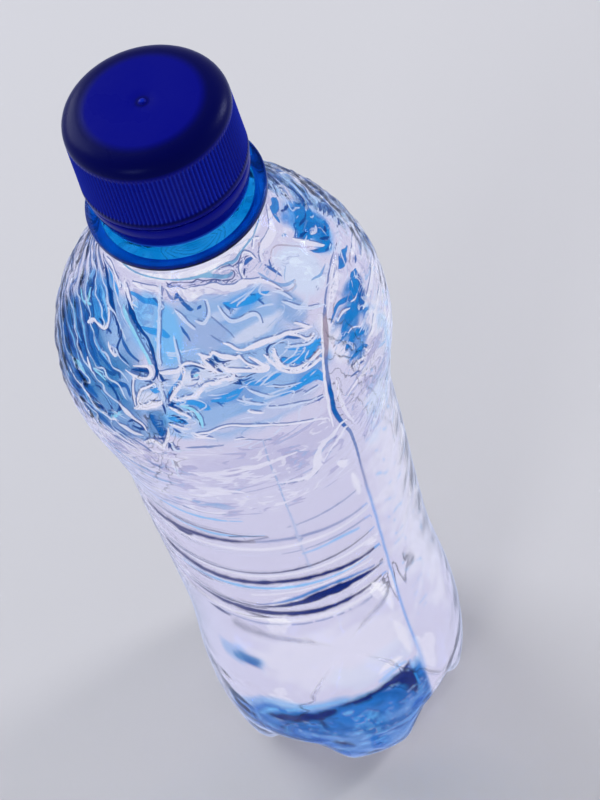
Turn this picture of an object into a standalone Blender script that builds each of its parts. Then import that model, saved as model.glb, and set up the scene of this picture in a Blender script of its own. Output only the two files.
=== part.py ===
"""A clear plastic drink bottle with a crumpled shoulder, its screw cap on and the tamper band round its neck.

Metres, +Z up. The origin is under the middle of the bottle, on the plane of its five feet.
Azimuths are in degrees: 0 is +X, -90 is the front, at -Y.
"""

from math import cos, exp, hypot, pi, radians, sin, sqrt
from random import Random

import bmesh
import bpy
from mathutils import Vector, noise

MM = 0.001
SEAT_GAP = 0.3 * MM

# --- Bottle: driving dimensions ---
FEET = 5
FRONT_FOOT_AZIMUTH = -90.0
COLUMNS = 40
SHOULDER_COLUMNS = 80

# Rings of the base, from its middle outwards: (radius, height) through a foot, and the radius in a valley.
BASE_RINGS = (
    (6.0 * MM, 4.8 * MM, 6.0 * MM),
    (11.0 * MM, 3.2 * MM, 11.0 * MM),
    (15.5 * MM, 1.0 * MM, 15.2 * MM),
    (19.0 * MM, 0.0 * MM, 18.6 * MM),
    (25.0 * MM, 0.0 * MM, 22.6 * MM),
    (29.2 * MM, 1.7 * MM, 27.0 * MM),
    (31.7 * MM, 5.4 * MM, 30.0 * MM),
    (33.0 * MM, 10.8 * MM, 32.2 * MM),
    (33.5 * MM, 17.0 * MM, 33.2 * MM),
)
BASE_CENTRE_HEIGHT = 5.4 * MM
VALLEY_TOP = 24.0 * MM
VALLEY_DEPTH = VALLEY_TOP - BASE_CENTRE_HEIGHT

# The outer wall above the base: (height, radius).
WALL_OUTLINE = (
    (24.0 * MM, 33.7 * MM),
    (36.0 * MM, 33.1 * MM),
    (48.0 * MM, 31.9 * MM),
    (62.0 * MM, 30.7 * MM),
    (80.0 * MM, 30.2 * MM),
    (112.0 * MM, 30.0 * MM),
    (132.0 * MM, 29.7 * MM),
    (145.0 * MM, 31.1 * MM),
    (158.0 * MM, 32.9 * MM),
    (167.0 * MM, 32.2 * MM),
    (175.0 * MM, 29.3 * MM),
    (182.0 * MM, 24.6 * MM),
    (188.0 * MM, 19.6 * MM),
    (193.0 * MM, 16.0 * MM),
    (197.0 * MM, 14.2 * MM),
)

# Heights of the mesh's rings: below the ribs, on each side of a rib, above the ribs, and up the shoulder.
LOWER_RING_HEIGHTS = (24.0 * MM, 34.0 * MM, 46.0 * MM, 58.0 * MM, 70.0 * MM, 81.0 * MM)
RIB_RING_OFFSET = 2.6 * MM
UPPER_RING_HEIGHTS = (137.0 * MM, 143.0 * MM, 149.0 * MM, 154.5 * MM)
SHOULDER_BOTTOM = 158.5 * MM
SHOULDER_TOP = 194.0 * MM
SHOULDER_RINGS = 14

GRIP_RIBS = 5
GRIP_RIB_LOWEST = 93.0 * MM
GRIP_RIB_PITCH = 8.5 * MM
GRIP_RIB_DEPTH = 0.9 * MM
GRIP_RIB_HALF_WIDTH = 1.9 * MM

# Wall thickness at heights up the bottle: the preform stretches least at the base and the neck.
WALL_THICKNESS = (
    (0.0 * MM, 0.9 * MM),
    (24.0 * MM, 0.5 * MM),
    (40.0 * MM, 0.45 * MM),
    (165.0 * MM, 0.45 * MM),
    (186.0 * MM, 0.7 * MM),
    (197.0 * MM, 1.3 * MM),
)

# --- Neck ---
NECK_RADIUS = 12.4 * MM
BORE_RADIUS = 10.85 * MM
BORE_FOOT = 197.0 * MM
FLANGE_BOTTOM = 200.2 * MM
FLANGE_TOP = 202.0 * MM
FLANGE_RADIUS = 16.5 * MM
FLANGE_ROUNDING = 0.35 * MM
COLLAR_RADIUS = 14.0 * MM
BEAD_RADIUS = 13.5 * MM
BEAD_BOTTOM = 206.7 * MM
BEAD_TOP = 208.1 * MM
BEAD_LEAD_IN = 0.8 * MM
MOUTH_HEIGHT = 222.7 * MM
MOUTH_CHAMFER = 0.5 * MM

# --- Crumpled shoulder ---
# Each fold is (depth, half width, route of (azimuth, height)), in millimetres and degrees.
FOLDS = (
    (0.8, 3.0, ((-152, 191), (-140, 188.5), (-130, 185.5), (-126, 182.5), (-133, 179), (-134, 174))),
    (-0.8, 2.6, ((-139, 181.5), (-130, 181))),
    (0.7, 2.8, ((-184, 191), (-166, 189.3), (-155, 186.5), (-166, 184.6), (-184, 184.4))),
    (0.8, 2.8, ((-168, 181.5), (-154, 178.8), (-143, 175), (-143, 170.5), (-158, 170), (-176, 171.5))),
    (-0.7, 2.8, ((-160, 174.6), (-147, 173.4))),
    (0.7, 2.2, ((-123, 193), (-122.5, 180), (-122, 170), (-122.5, 160))),
    (1.1, 2.8, ((-119, 177.5), (-113, 182.4), (-104, 182.4), (-97, 183.6), (-89, 182), (-80, 180))),
    (-1.0, 2.8, ((-117, 176.6), (-109, 178), (-100, 177), (-92, 178), (-84, 176.6))),
    (0.9, 2.8, ((-119, 172), (-111, 170.4), (-100, 171.6), (-86, 168.4), (-70, 163))),
    (1.1, 2.8, ((-80, 181.5), (-77, 177), (-69, 174.6), (-60, 176), (-61, 181), (-71, 182.4))),
    (-0.9, 2.6, ((-74, 178.8), (-66, 178.6))),
    (0.8, 2.8, ((-97, 188.4), (-88, 186.4), (-76, 187.4), (-66, 188))),
    (0.9, 2.8, ((-62, 191), (-56, 188), (-48, 185.6))),
    (0.8, 2.8, ((-44, 191), (-34, 188.5), (-24, 184), (-14, 182))),
    (0.9, 2.8, ((-50, 178.4), (-41, 177), (-34, 173.6), (-22, 176), (-10, 177))),
    (-0.8, 2.8, ((-48, 171), (-38, 169), (-26, 171))),
)

# Folds of the side that has none listed above, in the same units.
BACK_FOLDS = 16
BACK_FROM_AZIMUTH = 0.0
BACK_TO_AZIMUTH = 172.0
BACK_FOLD_LOWEST = 166.0
BACK_FOLD_HIGHEST = 191.0
BACK_FOLD_DEPTHS = (0.7, 1.0)
BACK_FOLD_HALF_WIDTHS = (2.6, 3.2)
BACK_FOLD_SEED = 4

CRUMPLE_DEPTH = 0.3 * MM
CRUMPLE_CELL = 9.0 * MM
CRUMPLE_BOTTOM = 158.0 * MM
CRUMPLE_TOP = 195.0 * MM
CRUMPLE_FADE = 7.0 * MM

# --- The long crease down the front right, and the dented panel beyond it ---
CREASE_ROUTE = (
    (44.0 * MM, -58.0),
    (60.0 * MM, -57.0),
    (130.0 * MM, -56.5),
    (145.0 * MM, -59.0),
    (160.0 * MM, -65.0),
    (168.0 * MM, -63.5),
    (176.0 * MM, -57.0),
)
CREASE_DEPTH = 1.4 * MM
CREASE_HALF_WIDTH = 1.6 * MM
CREASE_FADE = 8.0 * MM
PANEL_DEPTH = 0.8 * MM
PANEL_CENTRE = 12.0 * MM
PANEL_HALF_WIDTH = 8.0 * MM
PANEL_RIB_SHARE = 0.3

# How the mesh's columns follow the crease: degrees of azimuth that shift with it, and how close they crowd.
CREASE_PULL = 38.0
CREASE_CROWDING = 0.6
CREASE_CROWD_WIDTH = 14.0

# --- Screw cap ---
CAP_SEGMENTS = 40
KNURL_RIBS = 120
KNURL_DEPTH = 0.25 * MM
KNURL_BOTTOM = 211.0 * MM
KNURL_TOP = 221.8 * MM
CAP_BOTTOM_RADIUS = 15.1 * MM
CAP_TOP_RADIUS = 14.6 * MM
CAP_BOTTOM = 209.7 * MM
CAP_TOP = 225.3 * MM
CAP_SKIRT_EDGE = 0.5 * MM
CAP_EDGE_STEPS = 5
CAP_EDGE_FOOT = KNURL_TOP + 0.3 * MM
DISC_RADIUS = 10.3 * MM
DIMPLE_RADIUS = 1.8 * MM
DIMPLE_DEPTH = 0.1 * MM
GATE_RADIUS = 0.6 * MM
GATE_HEIGHT = 0.2 * MM
CAP_INNER_RADIUS = 13.75 * MM
CAP_CEILING = MOUTH_HEIGHT + SEAT_GAP
PLUG_OUTER_RADIUS = BORE_RADIUS - SEAT_GAP
PLUG_INNER_RADIUS = 9.4 * MM
PLUG_BOTTOM = 219.6 * MM
PLUG_CHAMFER_RADIAL = 0.3 * MM
PLUG_CHAMFER_HEIGHT = 0.6 * MM

# --- Tamper band ---
BAND_BOTTOM = 203.7 * MM
BAND_TOP = 209.1 * MM
BAND_TOP_RADIUS = 14.75 * MM
BAND_BOTTOM_RADIUS = 13.85 * MM
BAND_EDGE = 0.25 * MM
BAND_STRAIGHT = 1.2 * MM
BAND_LIP_HEIGHT = 1.0 * MM
BAND_LIP_RADIUS = NECK_RADIUS + SEAT_GAP
BAND_RECESS_RADIUS = BEAD_RADIUS + SEAT_GAP
BAND_RECESS_DROP = 0.5 * MM

PET_BLUE = (0.78, 0.86, 0.97, 1.0)
CAP_BLUE = (0.004, 0.006, 0.27, 1.0)


def clear_scene():
    for item in list(bpy.data.objects):
        bpy.data.objects.remove(item, do_unlink=True)


def smoothstep(value):
    t = min(1.0, max(0.0, value))
    return t * t * (3.0 - 2.0 * t)


def along(points, at):
    """The second number of points where the first is `at`, on a smooth curve through them."""
    if at <= points[0][0]:
        return points[0][1]
    if at >= points[-1][0]:
        return points[-1][1]
    index = max(i for i, point in enumerate(points) if point[0] <= at)
    (x0, y0), (x1, y1) = points[index], points[index + 1]
    step = x1 - x0
    before = points[max(index - 1, 0)]
    after = points[min(index + 2, len(points) - 1)]
    slope0 = (y1 - before[1]) / (x1 - before[0])
    slope1 = (after[1] - y0) / (after[0] - x0)
    t = (at - x0) / step
    rise = y1 - y0
    return (
        y0
        + slope0 * step * t * (1 - t) ** 2
        + rise * t * t * (3 - 2 * t)
        - slope1 * step * t * t * (1 - t)
    )


def gauss(distance, half_width):
    return exp(-((distance / half_width) ** 2))


def ripple(distance, half_width):
    """A ridge with a shallow trough on each side, so that many of them leave the wall where it was."""
    return (1.0 - (distance / half_width) ** 2) * gauss(distance, half_width)


def wall_radius(height):
    return along(WALL_OUTLINE, height)


def polar(azimuth, radius, height):
    turn = radians(azimuth)
    return Vector((radius * cos(turn), radius * sin(turn), height))


def wall_normal(height):
    """Radial and upward parts of the wall's outward normal."""
    reach = 0.5 * MM
    slope = (wall_radius(height + reach) - wall_radius(height - reach)) / (2 * reach)
    size = hypot(1.0, slope)
    return 1.0 / size, -slope / size


def turn_between(azimuth, other):
    """The signed angle from `other` to `azimuth`, from -180 to 180."""
    return (azimuth - other + 180.0) % 360.0 - 180.0


def back_folds():
    """Wavy folds over the rear of the shoulder, in the manner of the listed ones."""
    chance = Random(BACK_FOLD_SEED)
    folds = []
    for index in range(BACK_FOLDS):
        share = (index + chance.random()) / BACK_FOLDS
        azimuth = BACK_FROM_AZIMUTH + share * (BACK_TO_AZIMUTH - BACK_FROM_AZIMUTH)
        height = chance.uniform(BACK_FOLD_LOWEST, BACK_FOLD_HIGHEST)
        route = [(azimuth, height)]
        for _ in range(chance.randint(3, 5)):
            azimuth += chance.uniform(4.0, 9.0)
            height += chance.uniform(-4.5, 4.5)
            height = min(BACK_FOLD_HIGHEST, max(BACK_FOLD_LOWEST, height))
            route.append((azimuth, height))
        depth = chance.choice((-1.0, 1.0, 1.0)) * chance.uniform(*BACK_FOLD_DEPTHS)
        folds.append((depth, chance.uniform(*BACK_FOLD_HALF_WIDTHS), route))
    return folds


ALL_FOLDS = FOLDS + tuple(back_folds())


def distance_to_route(azimuth, height, route):
    """Distance over the wall, in millimetres, from a place to a route of (azimuth, height)."""
    across = wall_radius(height) / MM * pi / 180.0
    nearest = 1000.0
    for (a0, z0), (a1, z1) in zip(route, route[1:]):
        x0 = turn_between(a0, azimuth) * across
        y0 = z0 - height / MM
        x1 = x0 + (a1 - a0) * across
        y1 = z1 - height / MM
        length = (x1 - x0) ** 2 + (y1 - y0) ** 2
        t = min(1.0, max(0.0, -(x0 * (x1 - x0) + y0 * (y1 - y0)) / length))
        nearest = min(nearest, hypot(x0 + t * (x1 - x0), y0 + t * (y1 - y0)))
    return nearest


def crumple_share(height):
    rising = smoothstep((height - CRUMPLE_BOTTOM) / CRUMPLE_FADE)
    return rising * smoothstep((CRUMPLE_TOP - height) / CRUMPLE_FADE)


def crumple(azimuth, height):
    """Outward relief of the wrinkled shoulder."""
    share = crumple_share(height)
    if share == 0.0:
        return 0.0
    place = polar(azimuth, wall_radius(height), height) / CRUMPLE_CELL
    relief = CRUMPLE_DEPTH * noise.noise(place) * 2.0
    for depth, half_width, route in ALL_FOLDS:
        relief += depth * MM * ripple(distance_to_route(azimuth, height, route), half_width)
    return share * relief


def beyond_crease(azimuth, height):
    """Distance over the wall from the crease to a place, positive towards its right."""
    return radians(turn_between(azimuth, along(CREASE_ROUTE, height))) * wall_radius(height)


def crease_share(height):
    rising = smoothstep((height - CREASE_ROUTE[0][0]) / CREASE_FADE)
    return rising * smoothstep((CREASE_ROUTE[-1][0] - height) / CREASE_FADE)


def crease(azimuth, height):
    """Outward relief of the crease and the dented panel beside it."""
    distance = beyond_crease(azimuth, height)
    fold = CREASE_DEPTH * gauss(distance, CREASE_HALF_WIDTH)
    panel = PANEL_DEPTH * gauss(distance - PANEL_CENTRE, PANEL_HALF_WIDTH)
    return -crease_share(height) * (fold + panel)


def grip_ribs(azimuth, height):
    """Outward relief of the grooves round the waist, which the dented panel has stretched flat."""
    lowest = min(abs(height - GRIP_RIB_LOWEST - i * GRIP_RIB_PITCH) for i in range(GRIP_RIBS))
    on_panel = gauss(beyond_crease(azimuth, height) - PANEL_CENTRE, PANEL_CENTRE)
    share = 1.0 - (1.0 - PANEL_RIB_SHARE) * on_panel
    return -GRIP_RIB_DEPTH * share * gauss(lowest, GRIP_RIB_HALF_WIDTH)


def foot_share(azimuth):
    """1 over a foot, 0 in the middle of a valley."""
    return smoothstep((cos(FEET * radians(azimuth - FRONT_FOOT_AZIMUTH)) + 1.0) / 1.5)


def base_point(azimuth, ring):
    foot_radius, foot_height, valley_radius = ring
    valley_height = VALLEY_TOP - VALLEY_DEPTH * sqrt(1.0 - (valley_radius / WALL_OUTLINE[0][1]) ** 2)
    share = foot_share(azimuth)
    radius = valley_radius + share * (foot_radius - valley_radius)
    height = valley_height + share * (foot_height - valley_height)
    return polar(azimuth, radius, height)


def columns(height, count=COLUMNS):
    """Azimuths of the mesh's columns: one follows the crease, and its neighbours crowd up to it."""
    nominal = [FRONT_FOOT_AZIMUTH + i * 360.0 / count for i in range(count)]
    share = crease_share(height)
    nearest = min(nominal, key=lambda a: abs(turn_between(a, CREASE_ROUTE[1][1])))
    shift = turn_between(along(CREASE_ROUTE, height), nearest)
    moved = []
    for azimuth in nominal:
        away = turn_between(azimuth, nearest)
        pull = (1.0 + cos(pi * min(1.0, abs(away) / CREASE_PULL))) / 2.0
        crowd = CREASE_CROWDING * away * gauss(away, CREASE_CROWD_WIDTH)
        moved.append(azimuth + (shift * pull - crowd) * share)
    return moved


def wall_ring(height, count=COLUMNS):
    radius = wall_radius(height)
    sideways, upward = wall_normal(height)
    ring = []
    for azimuth in columns(height, count):
        relief = crumple(azimuth, height) + crease(azimuth, height) + grip_ribs(azimuth, height)
        ring.append(polar(azimuth, radius + sideways * relief, height + upward * relief))
    return ring


def wall_heights():
    """Heights of the wall's rings up to the foot of the shoulder: close at the ribs, wide between."""
    heights = list(LOWER_RING_HEIGHTS)
    for index in range(GRIP_RIBS):
        middle = GRIP_RIB_LOWEST + index * GRIP_RIB_PITCH
        heights += [middle - RIB_RING_OFFSET, middle, middle + RIB_RING_OFFSET]
    return heights + list(UPPER_RING_HEIGHTS)


def shoulder_heights():
    step = (SHOULDER_TOP - SHOULDER_BOTTOM) / (SHOULDER_RINGS - 1)
    return [SHOULDER_BOTTOM + index * step for index in range(SHOULDER_RINGS)]


def plain_ring(radius, height):
    return [polar(azimuth, radius, height) for azimuth in columns(MOUTH_HEIGHT)]


def neck_rings():
    """Outside of the neck, from under the flange to the mouth."""
    flange_face = FLANGE_RADIUS - FLANGE_ROUNDING
    outline = (
        (COLLAR_RADIUS, FLANGE_BOTTOM),
        (flange_face, FLANGE_BOTTOM),
        (FLANGE_RADIUS, FLANGE_BOTTOM + FLANGE_ROUNDING),
        (FLANGE_RADIUS, FLANGE_TOP - FLANGE_ROUNDING),
        (flange_face, FLANGE_TOP),
        (NECK_RADIUS, FLANGE_TOP),
        (NECK_RADIUS, BEAD_BOTTOM - BEAD_LEAD_IN),
        (BEAD_RADIUS, BEAD_BOTTOM),
        (BEAD_RADIUS, BEAD_TOP),
        (NECK_RADIUS, BEAD_TOP + BEAD_LEAD_IN),
        (NECK_RADIUS, MOUTH_HEIGHT - MOUTH_CHAMFER),
        (NECK_RADIUS - MOUTH_CHAMFER, MOUTH_HEIGHT),
        (BORE_RADIUS, MOUTH_HEIGHT),
    )
    return [plain_ring(radius, height) for radius, height in outline]


def inner_ring(rings, index, thickness):
    """The ring `thickness` inside ring `index` of the outer skin."""
    ring = rings[index]
    count = len(ring)
    below = rings[index - 1] if index else [Vector((0, 0, BASE_CENTRE_HEIGHT))]
    above = rings[index + 1]
    inner = []
    for column, point in enumerate(ring):
        across = ring[(column + 1) % count] - ring[column - 1]
        upward = above[column * len(above) // count] - below[column * len(below) // count]
        inner.append(point - thickness * across.cross(upward).normalized())
    return inner


def add_rings(mesh, rings):
    return [[mesh.verts.new(point) for point in ring] for ring in rings]


def stitch(mesh, first, second):
    """Triangles between two rings. One ring may have several times as many points as the other."""
    coarse, fine = sorted((first, second), key=len)
    ratio = len(fine) // len(coarse)
    for i, corner in enumerate(coarse):
        following = coarse[(i + 1) % len(coarse)]
        row = [fine[(i * ratio + k) % len(fine)] for k in range(ratio + 1)]
        middle = ratio // 2
        for k in range(ratio):
            mesh.faces.new((corner if k < middle else following, row[k], row[k + 1]))
        mesh.faces.new((corner, row[middle], following))


def fan(mesh, ring, centre):
    """Triangles from a ring to one point inside it."""
    middle = mesh.verts.new(centre)
    for i, corner in enumerate(ring):
        mesh.faces.new((middle, ring[(i + 1) % len(ring)], corner))


def skin(mesh, rings):
    for lower, upper in zip(rings, rings[1:]):
        stitch(mesh, lower, upper)


def make_object(name, mesh, material, sharp_angle):
    bmesh.ops.recalc_face_normals(mesh, faces=mesh.faces)
    data = bpy.data.meshes.new(name)
    mesh.to_mesh(data)
    mesh.free()
    data.materials.append(material)
    data.shade_smooth()
    data.set_sharp_from_angle(angle=radians(sharp_angle))
    item = bpy.data.objects.new(name, data)
    bpy.context.scene.collection.objects.link(item)
    return item


def make_material(name, colour, roughness, transmission=0.0):
    material = bpy.data.materials.new(name)
    material.use_nodes = True
    shader = material.node_tree.nodes["Principled BSDF"]
    shader.inputs["Base Color"].default_value = colour
    shader.inputs["Roughness"].default_value = roughness
    shader.inputs["Metallic"].default_value = 0.0
    shader.inputs["IOR"].default_value = 1.5
    shader.inputs["Transmission Weight"].default_value = transmission
    return material


def make_bottle(material):
    """The blown shell: feet, waist, crumpled shoulder and neck, open at the mouth."""
    mesh = bmesh.new()
    heights = wall_heights() + shoulder_heights()
    shell = [[base_point(azimuth, ring) for azimuth in columns(0.0)] for ring in BASE_RINGS]
    shell += [wall_ring(height) for height in wall_heights()]
    shell += [wall_ring(height, SHOULDER_COLUMNS) for height in shoulder_heights()]
    shell.append(plain_ring(wall_radius(BORE_FOOT), BORE_FOOT))
    depths = [ring[1] for ring in BASE_RINGS] + heights
    hollow = [inner_ring(shell, index, along(WALL_THICKNESS, depth)) for index, depth in enumerate(depths)]
    hollow.append(plain_ring(BORE_RADIUS, BORE_FOOT))

    outside = add_rings(mesh, shell + neck_rings())
    inside = add_rings(mesh, hollow)
    skin(mesh, outside)
    skin(mesh, inside)
    stitch(mesh, inside[-1], outside[-1])
    fan(mesh, outside[0], (0, 0, BASE_CENTRE_HEIGHT))
    fan(mesh, inside[0], (0, 0, BASE_CENTRE_HEIGHT + along(WALL_THICKNESS, 0.0)))
    return make_object("bottle", mesh, material, sharp_angle=60.0)


def turned_ring(mesh, radius, height):
    turns = [360.0 * i / CAP_SEGMENTS for i in range(CAP_SEGMENTS)]
    return [mesh.verts.new(polar(turn, radius, height)) for turn in turns]


def knurl_ring(mesh, radius, height):
    """Crests and roots of the knurl by turns."""
    count = 2 * KNURL_RIBS
    radii = (radius, radius - KNURL_DEPTH)
    return [mesh.verts.new(polar(360.0 * i / count, radii[i % 2], height)) for i in range(count)]


def cap_top_outline():
    """(radius, height) from the knurl's top over the rounded edge to the flat disc."""
    outline = []
    for index in range(CAP_EDGE_STEPS + 1):
        turn = 0.5 * pi * index / CAP_EDGE_STEPS
        radius = DISC_RADIUS + (CAP_TOP_RADIUS - DISC_RADIUS) * cos(turn)
        outline.append((radius, CAP_EDGE_FOOT + (CAP_TOP - CAP_EDGE_FOOT) * sin(turn)))
    outline.append((DIMPLE_RADIUS, CAP_TOP))
    outline.append((GATE_RADIUS, CAP_TOP - DIMPLE_DEPTH))
    return outline


def make_cap(material):
    """The moulded screw cap: knurled skirt, rounded top edge, gate, and the plug that seals the bore."""
    mesh = bmesh.new()
    inner_outline = (
        (CAP_BOTTOM_RADIUS - CAP_SKIRT_EDGE, CAP_BOTTOM),
        (CAP_INNER_RADIUS, CAP_BOTTOM),
        (CAP_INNER_RADIUS, CAP_CEILING),
        (PLUG_OUTER_RADIUS, CAP_CEILING),
        (PLUG_OUTER_RADIUS, PLUG_BOTTOM + PLUG_CHAMFER_HEIGHT),
        (PLUG_OUTER_RADIUS - PLUG_CHAMFER_RADIAL, PLUG_BOTTOM),
        (PLUG_INNER_RADIUS, PLUG_BOTTOM),
        (PLUG_INNER_RADIUS, CAP_CEILING),
    )
    low_edge = turned_ring(mesh, CAP_BOTTOM_RADIUS, CAP_BOTTOM + CAP_SKIRT_EDGE)
    knurl_low = knurl_ring(mesh, CAP_BOTTOM_RADIUS, KNURL_BOTTOM)
    knurl_high = knurl_ring(mesh, CAP_TOP_RADIUS, KNURL_TOP)
    top = [turned_ring(mesh, radius, height) for radius, height in cap_top_outline()]
    inner = [turned_ring(mesh, radius, height) for radius, height in inner_outline]
    skin(mesh, inner[::-1] + [low_edge, knurl_low, knurl_high] + top)
    fan(mesh, top[-1], (0, 0, CAP_TOP + GATE_HEIGHT))
    fan(mesh, inner[-1], (0, 0, CAP_CEILING))
    return make_object("cap", mesh, material, sharp_angle=25.0)


def make_tamper_band(material):
    """The ring that stays under the neck's bead once the cap has been opened."""
    mesh = bmesh.new()
    outline = (
        (BAND_LIP_RADIUS + BAND_EDGE, BAND_BOTTOM),
        (BAND_BOTTOM_RADIUS - BAND_EDGE, BAND_BOTTOM),
        (BAND_BOTTOM_RADIUS, BAND_BOTTOM + BAND_EDGE),
        (BAND_TOP_RADIUS, BAND_TOP - BAND_STRAIGHT),
        (BAND_TOP_RADIUS, BAND_TOP - BAND_EDGE),
        (BAND_TOP_RADIUS - BAND_EDGE, BAND_TOP),
        (BAND_RECESS_RADIUS, BAND_TOP),
        (BAND_RECESS_RADIUS, BEAD_BOTTOM - BAND_RECESS_DROP),
        (BAND_LIP_RADIUS, BAND_BOTTOM + BAND_LIP_HEIGHT),
        (BAND_LIP_RADIUS, BAND_BOTTOM + BAND_EDGE),
    )
    rings = [turned_ring(mesh, radius, height) for radius, height in outline]
    skin(mesh, rings + rings[:1])
    return make_object("tamper_band", mesh, material, sharp_angle=25.0)


def make_part():
    clear_scene()
    clear_plastic = make_material("clear_plastic", PET_BLUE, 0.06, transmission=0.9)
    cap_plastic = make_material("cap_plastic", CAP_BLUE, 0.28)
    band_plastic = make_material("band_plastic", CAP_BLUE, 0.28)
    make_bottle(clear_plastic)
    make_cap(cap_plastic)
    make_tamper_band(band_plastic)


make_part()
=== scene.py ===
"""A clear drink bottle with a wrinkled shoulder and a long crease, its cap and tamper band."""

import math

import bpy
import numpy as np
from mathutils import Matrix, Vector


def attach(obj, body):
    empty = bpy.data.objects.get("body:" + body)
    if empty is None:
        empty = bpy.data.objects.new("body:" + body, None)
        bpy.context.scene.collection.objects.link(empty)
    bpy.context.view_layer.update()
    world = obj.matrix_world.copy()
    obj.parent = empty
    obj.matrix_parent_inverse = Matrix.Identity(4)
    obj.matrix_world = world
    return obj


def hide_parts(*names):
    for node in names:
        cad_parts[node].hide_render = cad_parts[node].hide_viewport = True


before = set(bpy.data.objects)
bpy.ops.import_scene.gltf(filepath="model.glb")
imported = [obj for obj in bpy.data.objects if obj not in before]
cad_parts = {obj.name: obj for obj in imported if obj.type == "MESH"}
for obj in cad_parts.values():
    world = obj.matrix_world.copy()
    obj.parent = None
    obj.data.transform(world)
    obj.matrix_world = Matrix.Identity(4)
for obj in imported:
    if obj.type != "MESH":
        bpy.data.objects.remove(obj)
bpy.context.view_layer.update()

MM = 0.001
DEGREE = np.radians(1)

# --- The blown shell: (height, radius) up the wall, and the rings of the base ---
BASE_TOP, BASE_RADIUS, WIDEST, WAIST_RADIUS, SKIN_TOP = 24, 33.7, 33.68, 30, 197.1
WALL = ((BASE_TOP, BASE_RADIUS), (36, 33.1), (48, 31.9), (62, 30.7), (80, 30.2), (112, 30),
        (132, 29.7), (145, 31.1), (158, 32.9), (167, 32.2), (175, 29.3), (182, 24.6), (188, 19.6),
        (193, 16), (197, 14.2))
# Through a foot: radius, height; then the radius that the same ring has in a valley.
BASE = ((0, 5.4, 0), (6, 4.8, 6), (11, 3.2, 11), (15.5, 1, 15.2), (19, 0, 18.6), (25, 0, 22.6),
        (29.2, 1.7, 27), (31.7, 5.4, 30), (33, 10.8, 32.2), (33.5, 17, 33.2),
        (BASE_RADIUS, BASE_TOP, BASE_RADIUS))
FOOT, VALLEY = [ring[:2] for ring in BASE], [ring[::2] for ring in BASE]
FEET, FRONT = 5, -90
BOWL_DEPTH = 18.6
# How thick the plastic is: (height, thickness) up the wall, and in the base.
WALL_DEPTHS = ((0, 0.9), (24, 0.7), (40, 0.6), (85, 0.6), (134, 0.6), (160, 1.3), (186, 1.5),
               (193, 1.4))
BASE_WALL = 0.75
COLUMNS = 288
# Columns stand closer where the wrinkles are: turns from the front, and the turns they take.
EVEN_TURNS, TAKEN_TURNS = (0, 118, 180), (0, 78, 180)

# --- Neck ---
NECK_RADIUS, BORE_RADIUS, MOUTH = 12.4, 10.85, 222.7
THREAD_PITCH, THREAD_TURNS, THREAD_START, THREAD_HEIGHT = 3.18, 1.9, 211.6, 1.15
THREAD_HALF_WIDTH, THREAD_FLANK, THREAD_RUN_OUT = 1.25, 0.6, 0.08


def deselect():
    if bpy.context.mode != "OBJECT":
        bpy.ops.object.mode_set(mode="OBJECT")
    bpy.ops.object.select_all(action="DESELECT")


def take(item):
    """Makes one object the only one selected, and active."""
    deselect()
    item.select_set(True)
    bpy.context.view_layer.objects.active = item


def smooth(t):
    t = np.clip(t, 0, 1)
    return t * t * (3 - 2 * t)


def window(value, low, high, fade):
    """1 between low and high, fading to 0 over `fade` outside them."""
    return smooth((value - low) / fade + 1) * smooth((high - value) / fade + 1)


def bell(value, width):
    return np.exp(-(value / width) ** 2)


def along(points, at):
    """The second number of points where the first is `at`, on a smooth curve through them."""
    xs, ys = np.array(points, float).T
    at = np.clip(np.asarray(at, float), xs[0], xs[-1])
    i = np.clip(np.searchsorted(xs, at, side="right") - 1, 0, len(xs) - 2)
    before, after = np.maximum(i - 1, 0), np.minimum(i + 2, len(xs) - 1)
    step = xs[i + 1] - xs[i]
    slope0 = (ys[i + 1] - ys[before]) / (xs[i + 1] - xs[before])
    slope1 = (ys[after] - ys[i]) / (xs[after] - xs[i])
    t = (at - xs[i]) / step
    return (ys[i] + slope0 * step * t * (1 - t) ** 2 + (ys[i + 1] - ys[i]) * t * t * (3 - 2 * t)
            - slope1 * step * t * t * (1 - t))


def turn_from(azimuth, other):
    return (azimuth - other + 180) % 360 - 180


# --- Cloudy noise for the wrinkles ---
LATTICE = np.random.RandomState(11).permutation(256)
EDGES = np.array([(1, 1, 0), (-1, 1, 0), (1, -1, 0), (-1, -1, 0), (1, 0, 1), (-1, 0, 1),
                  (1, 0, -1), (-1, 0, -1), (0, 1, 1), (0, -1, 1), (0, 1, -1), (0, -1, -1),
                  (1, 1, 0), (-1, 1, 0), (0, -1, 1), (0, -1, -1)], float)
# Where in the noise each of the three bends of a fold is read.
BENDS = ((7.3, 1.1, 3.7), (2.2, 9.4, 5.1), (4.6, 6.8, 8.9))


def cloudy(x, y, z):
    """Smooth noise between about -1 and 1, on any arrays of places."""
    cell = [np.floor(v).astype(int) for v in (x, y, z)]
    part = [v - c for v, c in zip((x, y, z), cell)]
    ease = [t * t * t * (t * (t * 6 - 15) + 10) for t in part]
    total = 0
    for corner in range(8):
        step = (corner & 1, corner >> 1 & 1, corner >> 2)
        pick = 0
        for c, s in zip(cell, step):
            pick = LATTICE[(pick + c + s) & 255]
        slope = EDGES[pick & 15]
        lean = sum(slope[..., k] * (part[k] - step[k]) for k in range(3))
        total = total + lean * np.prod([e if s else 1 - e for e, s in zip(ease, step)], axis=0)
    return total


def folded(x, y, z, warp):
    """Drawn-out noise folded over itself: the way that softened plastic wrinkles."""
    bend = [warp * cloudy(0.6 * x + a, 0.6 * y + b, 0.6 * z + c) for a, b, c in BENDS]
    return cloudy(x + bend[0], y + bend[1], z + bend[2])


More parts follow.
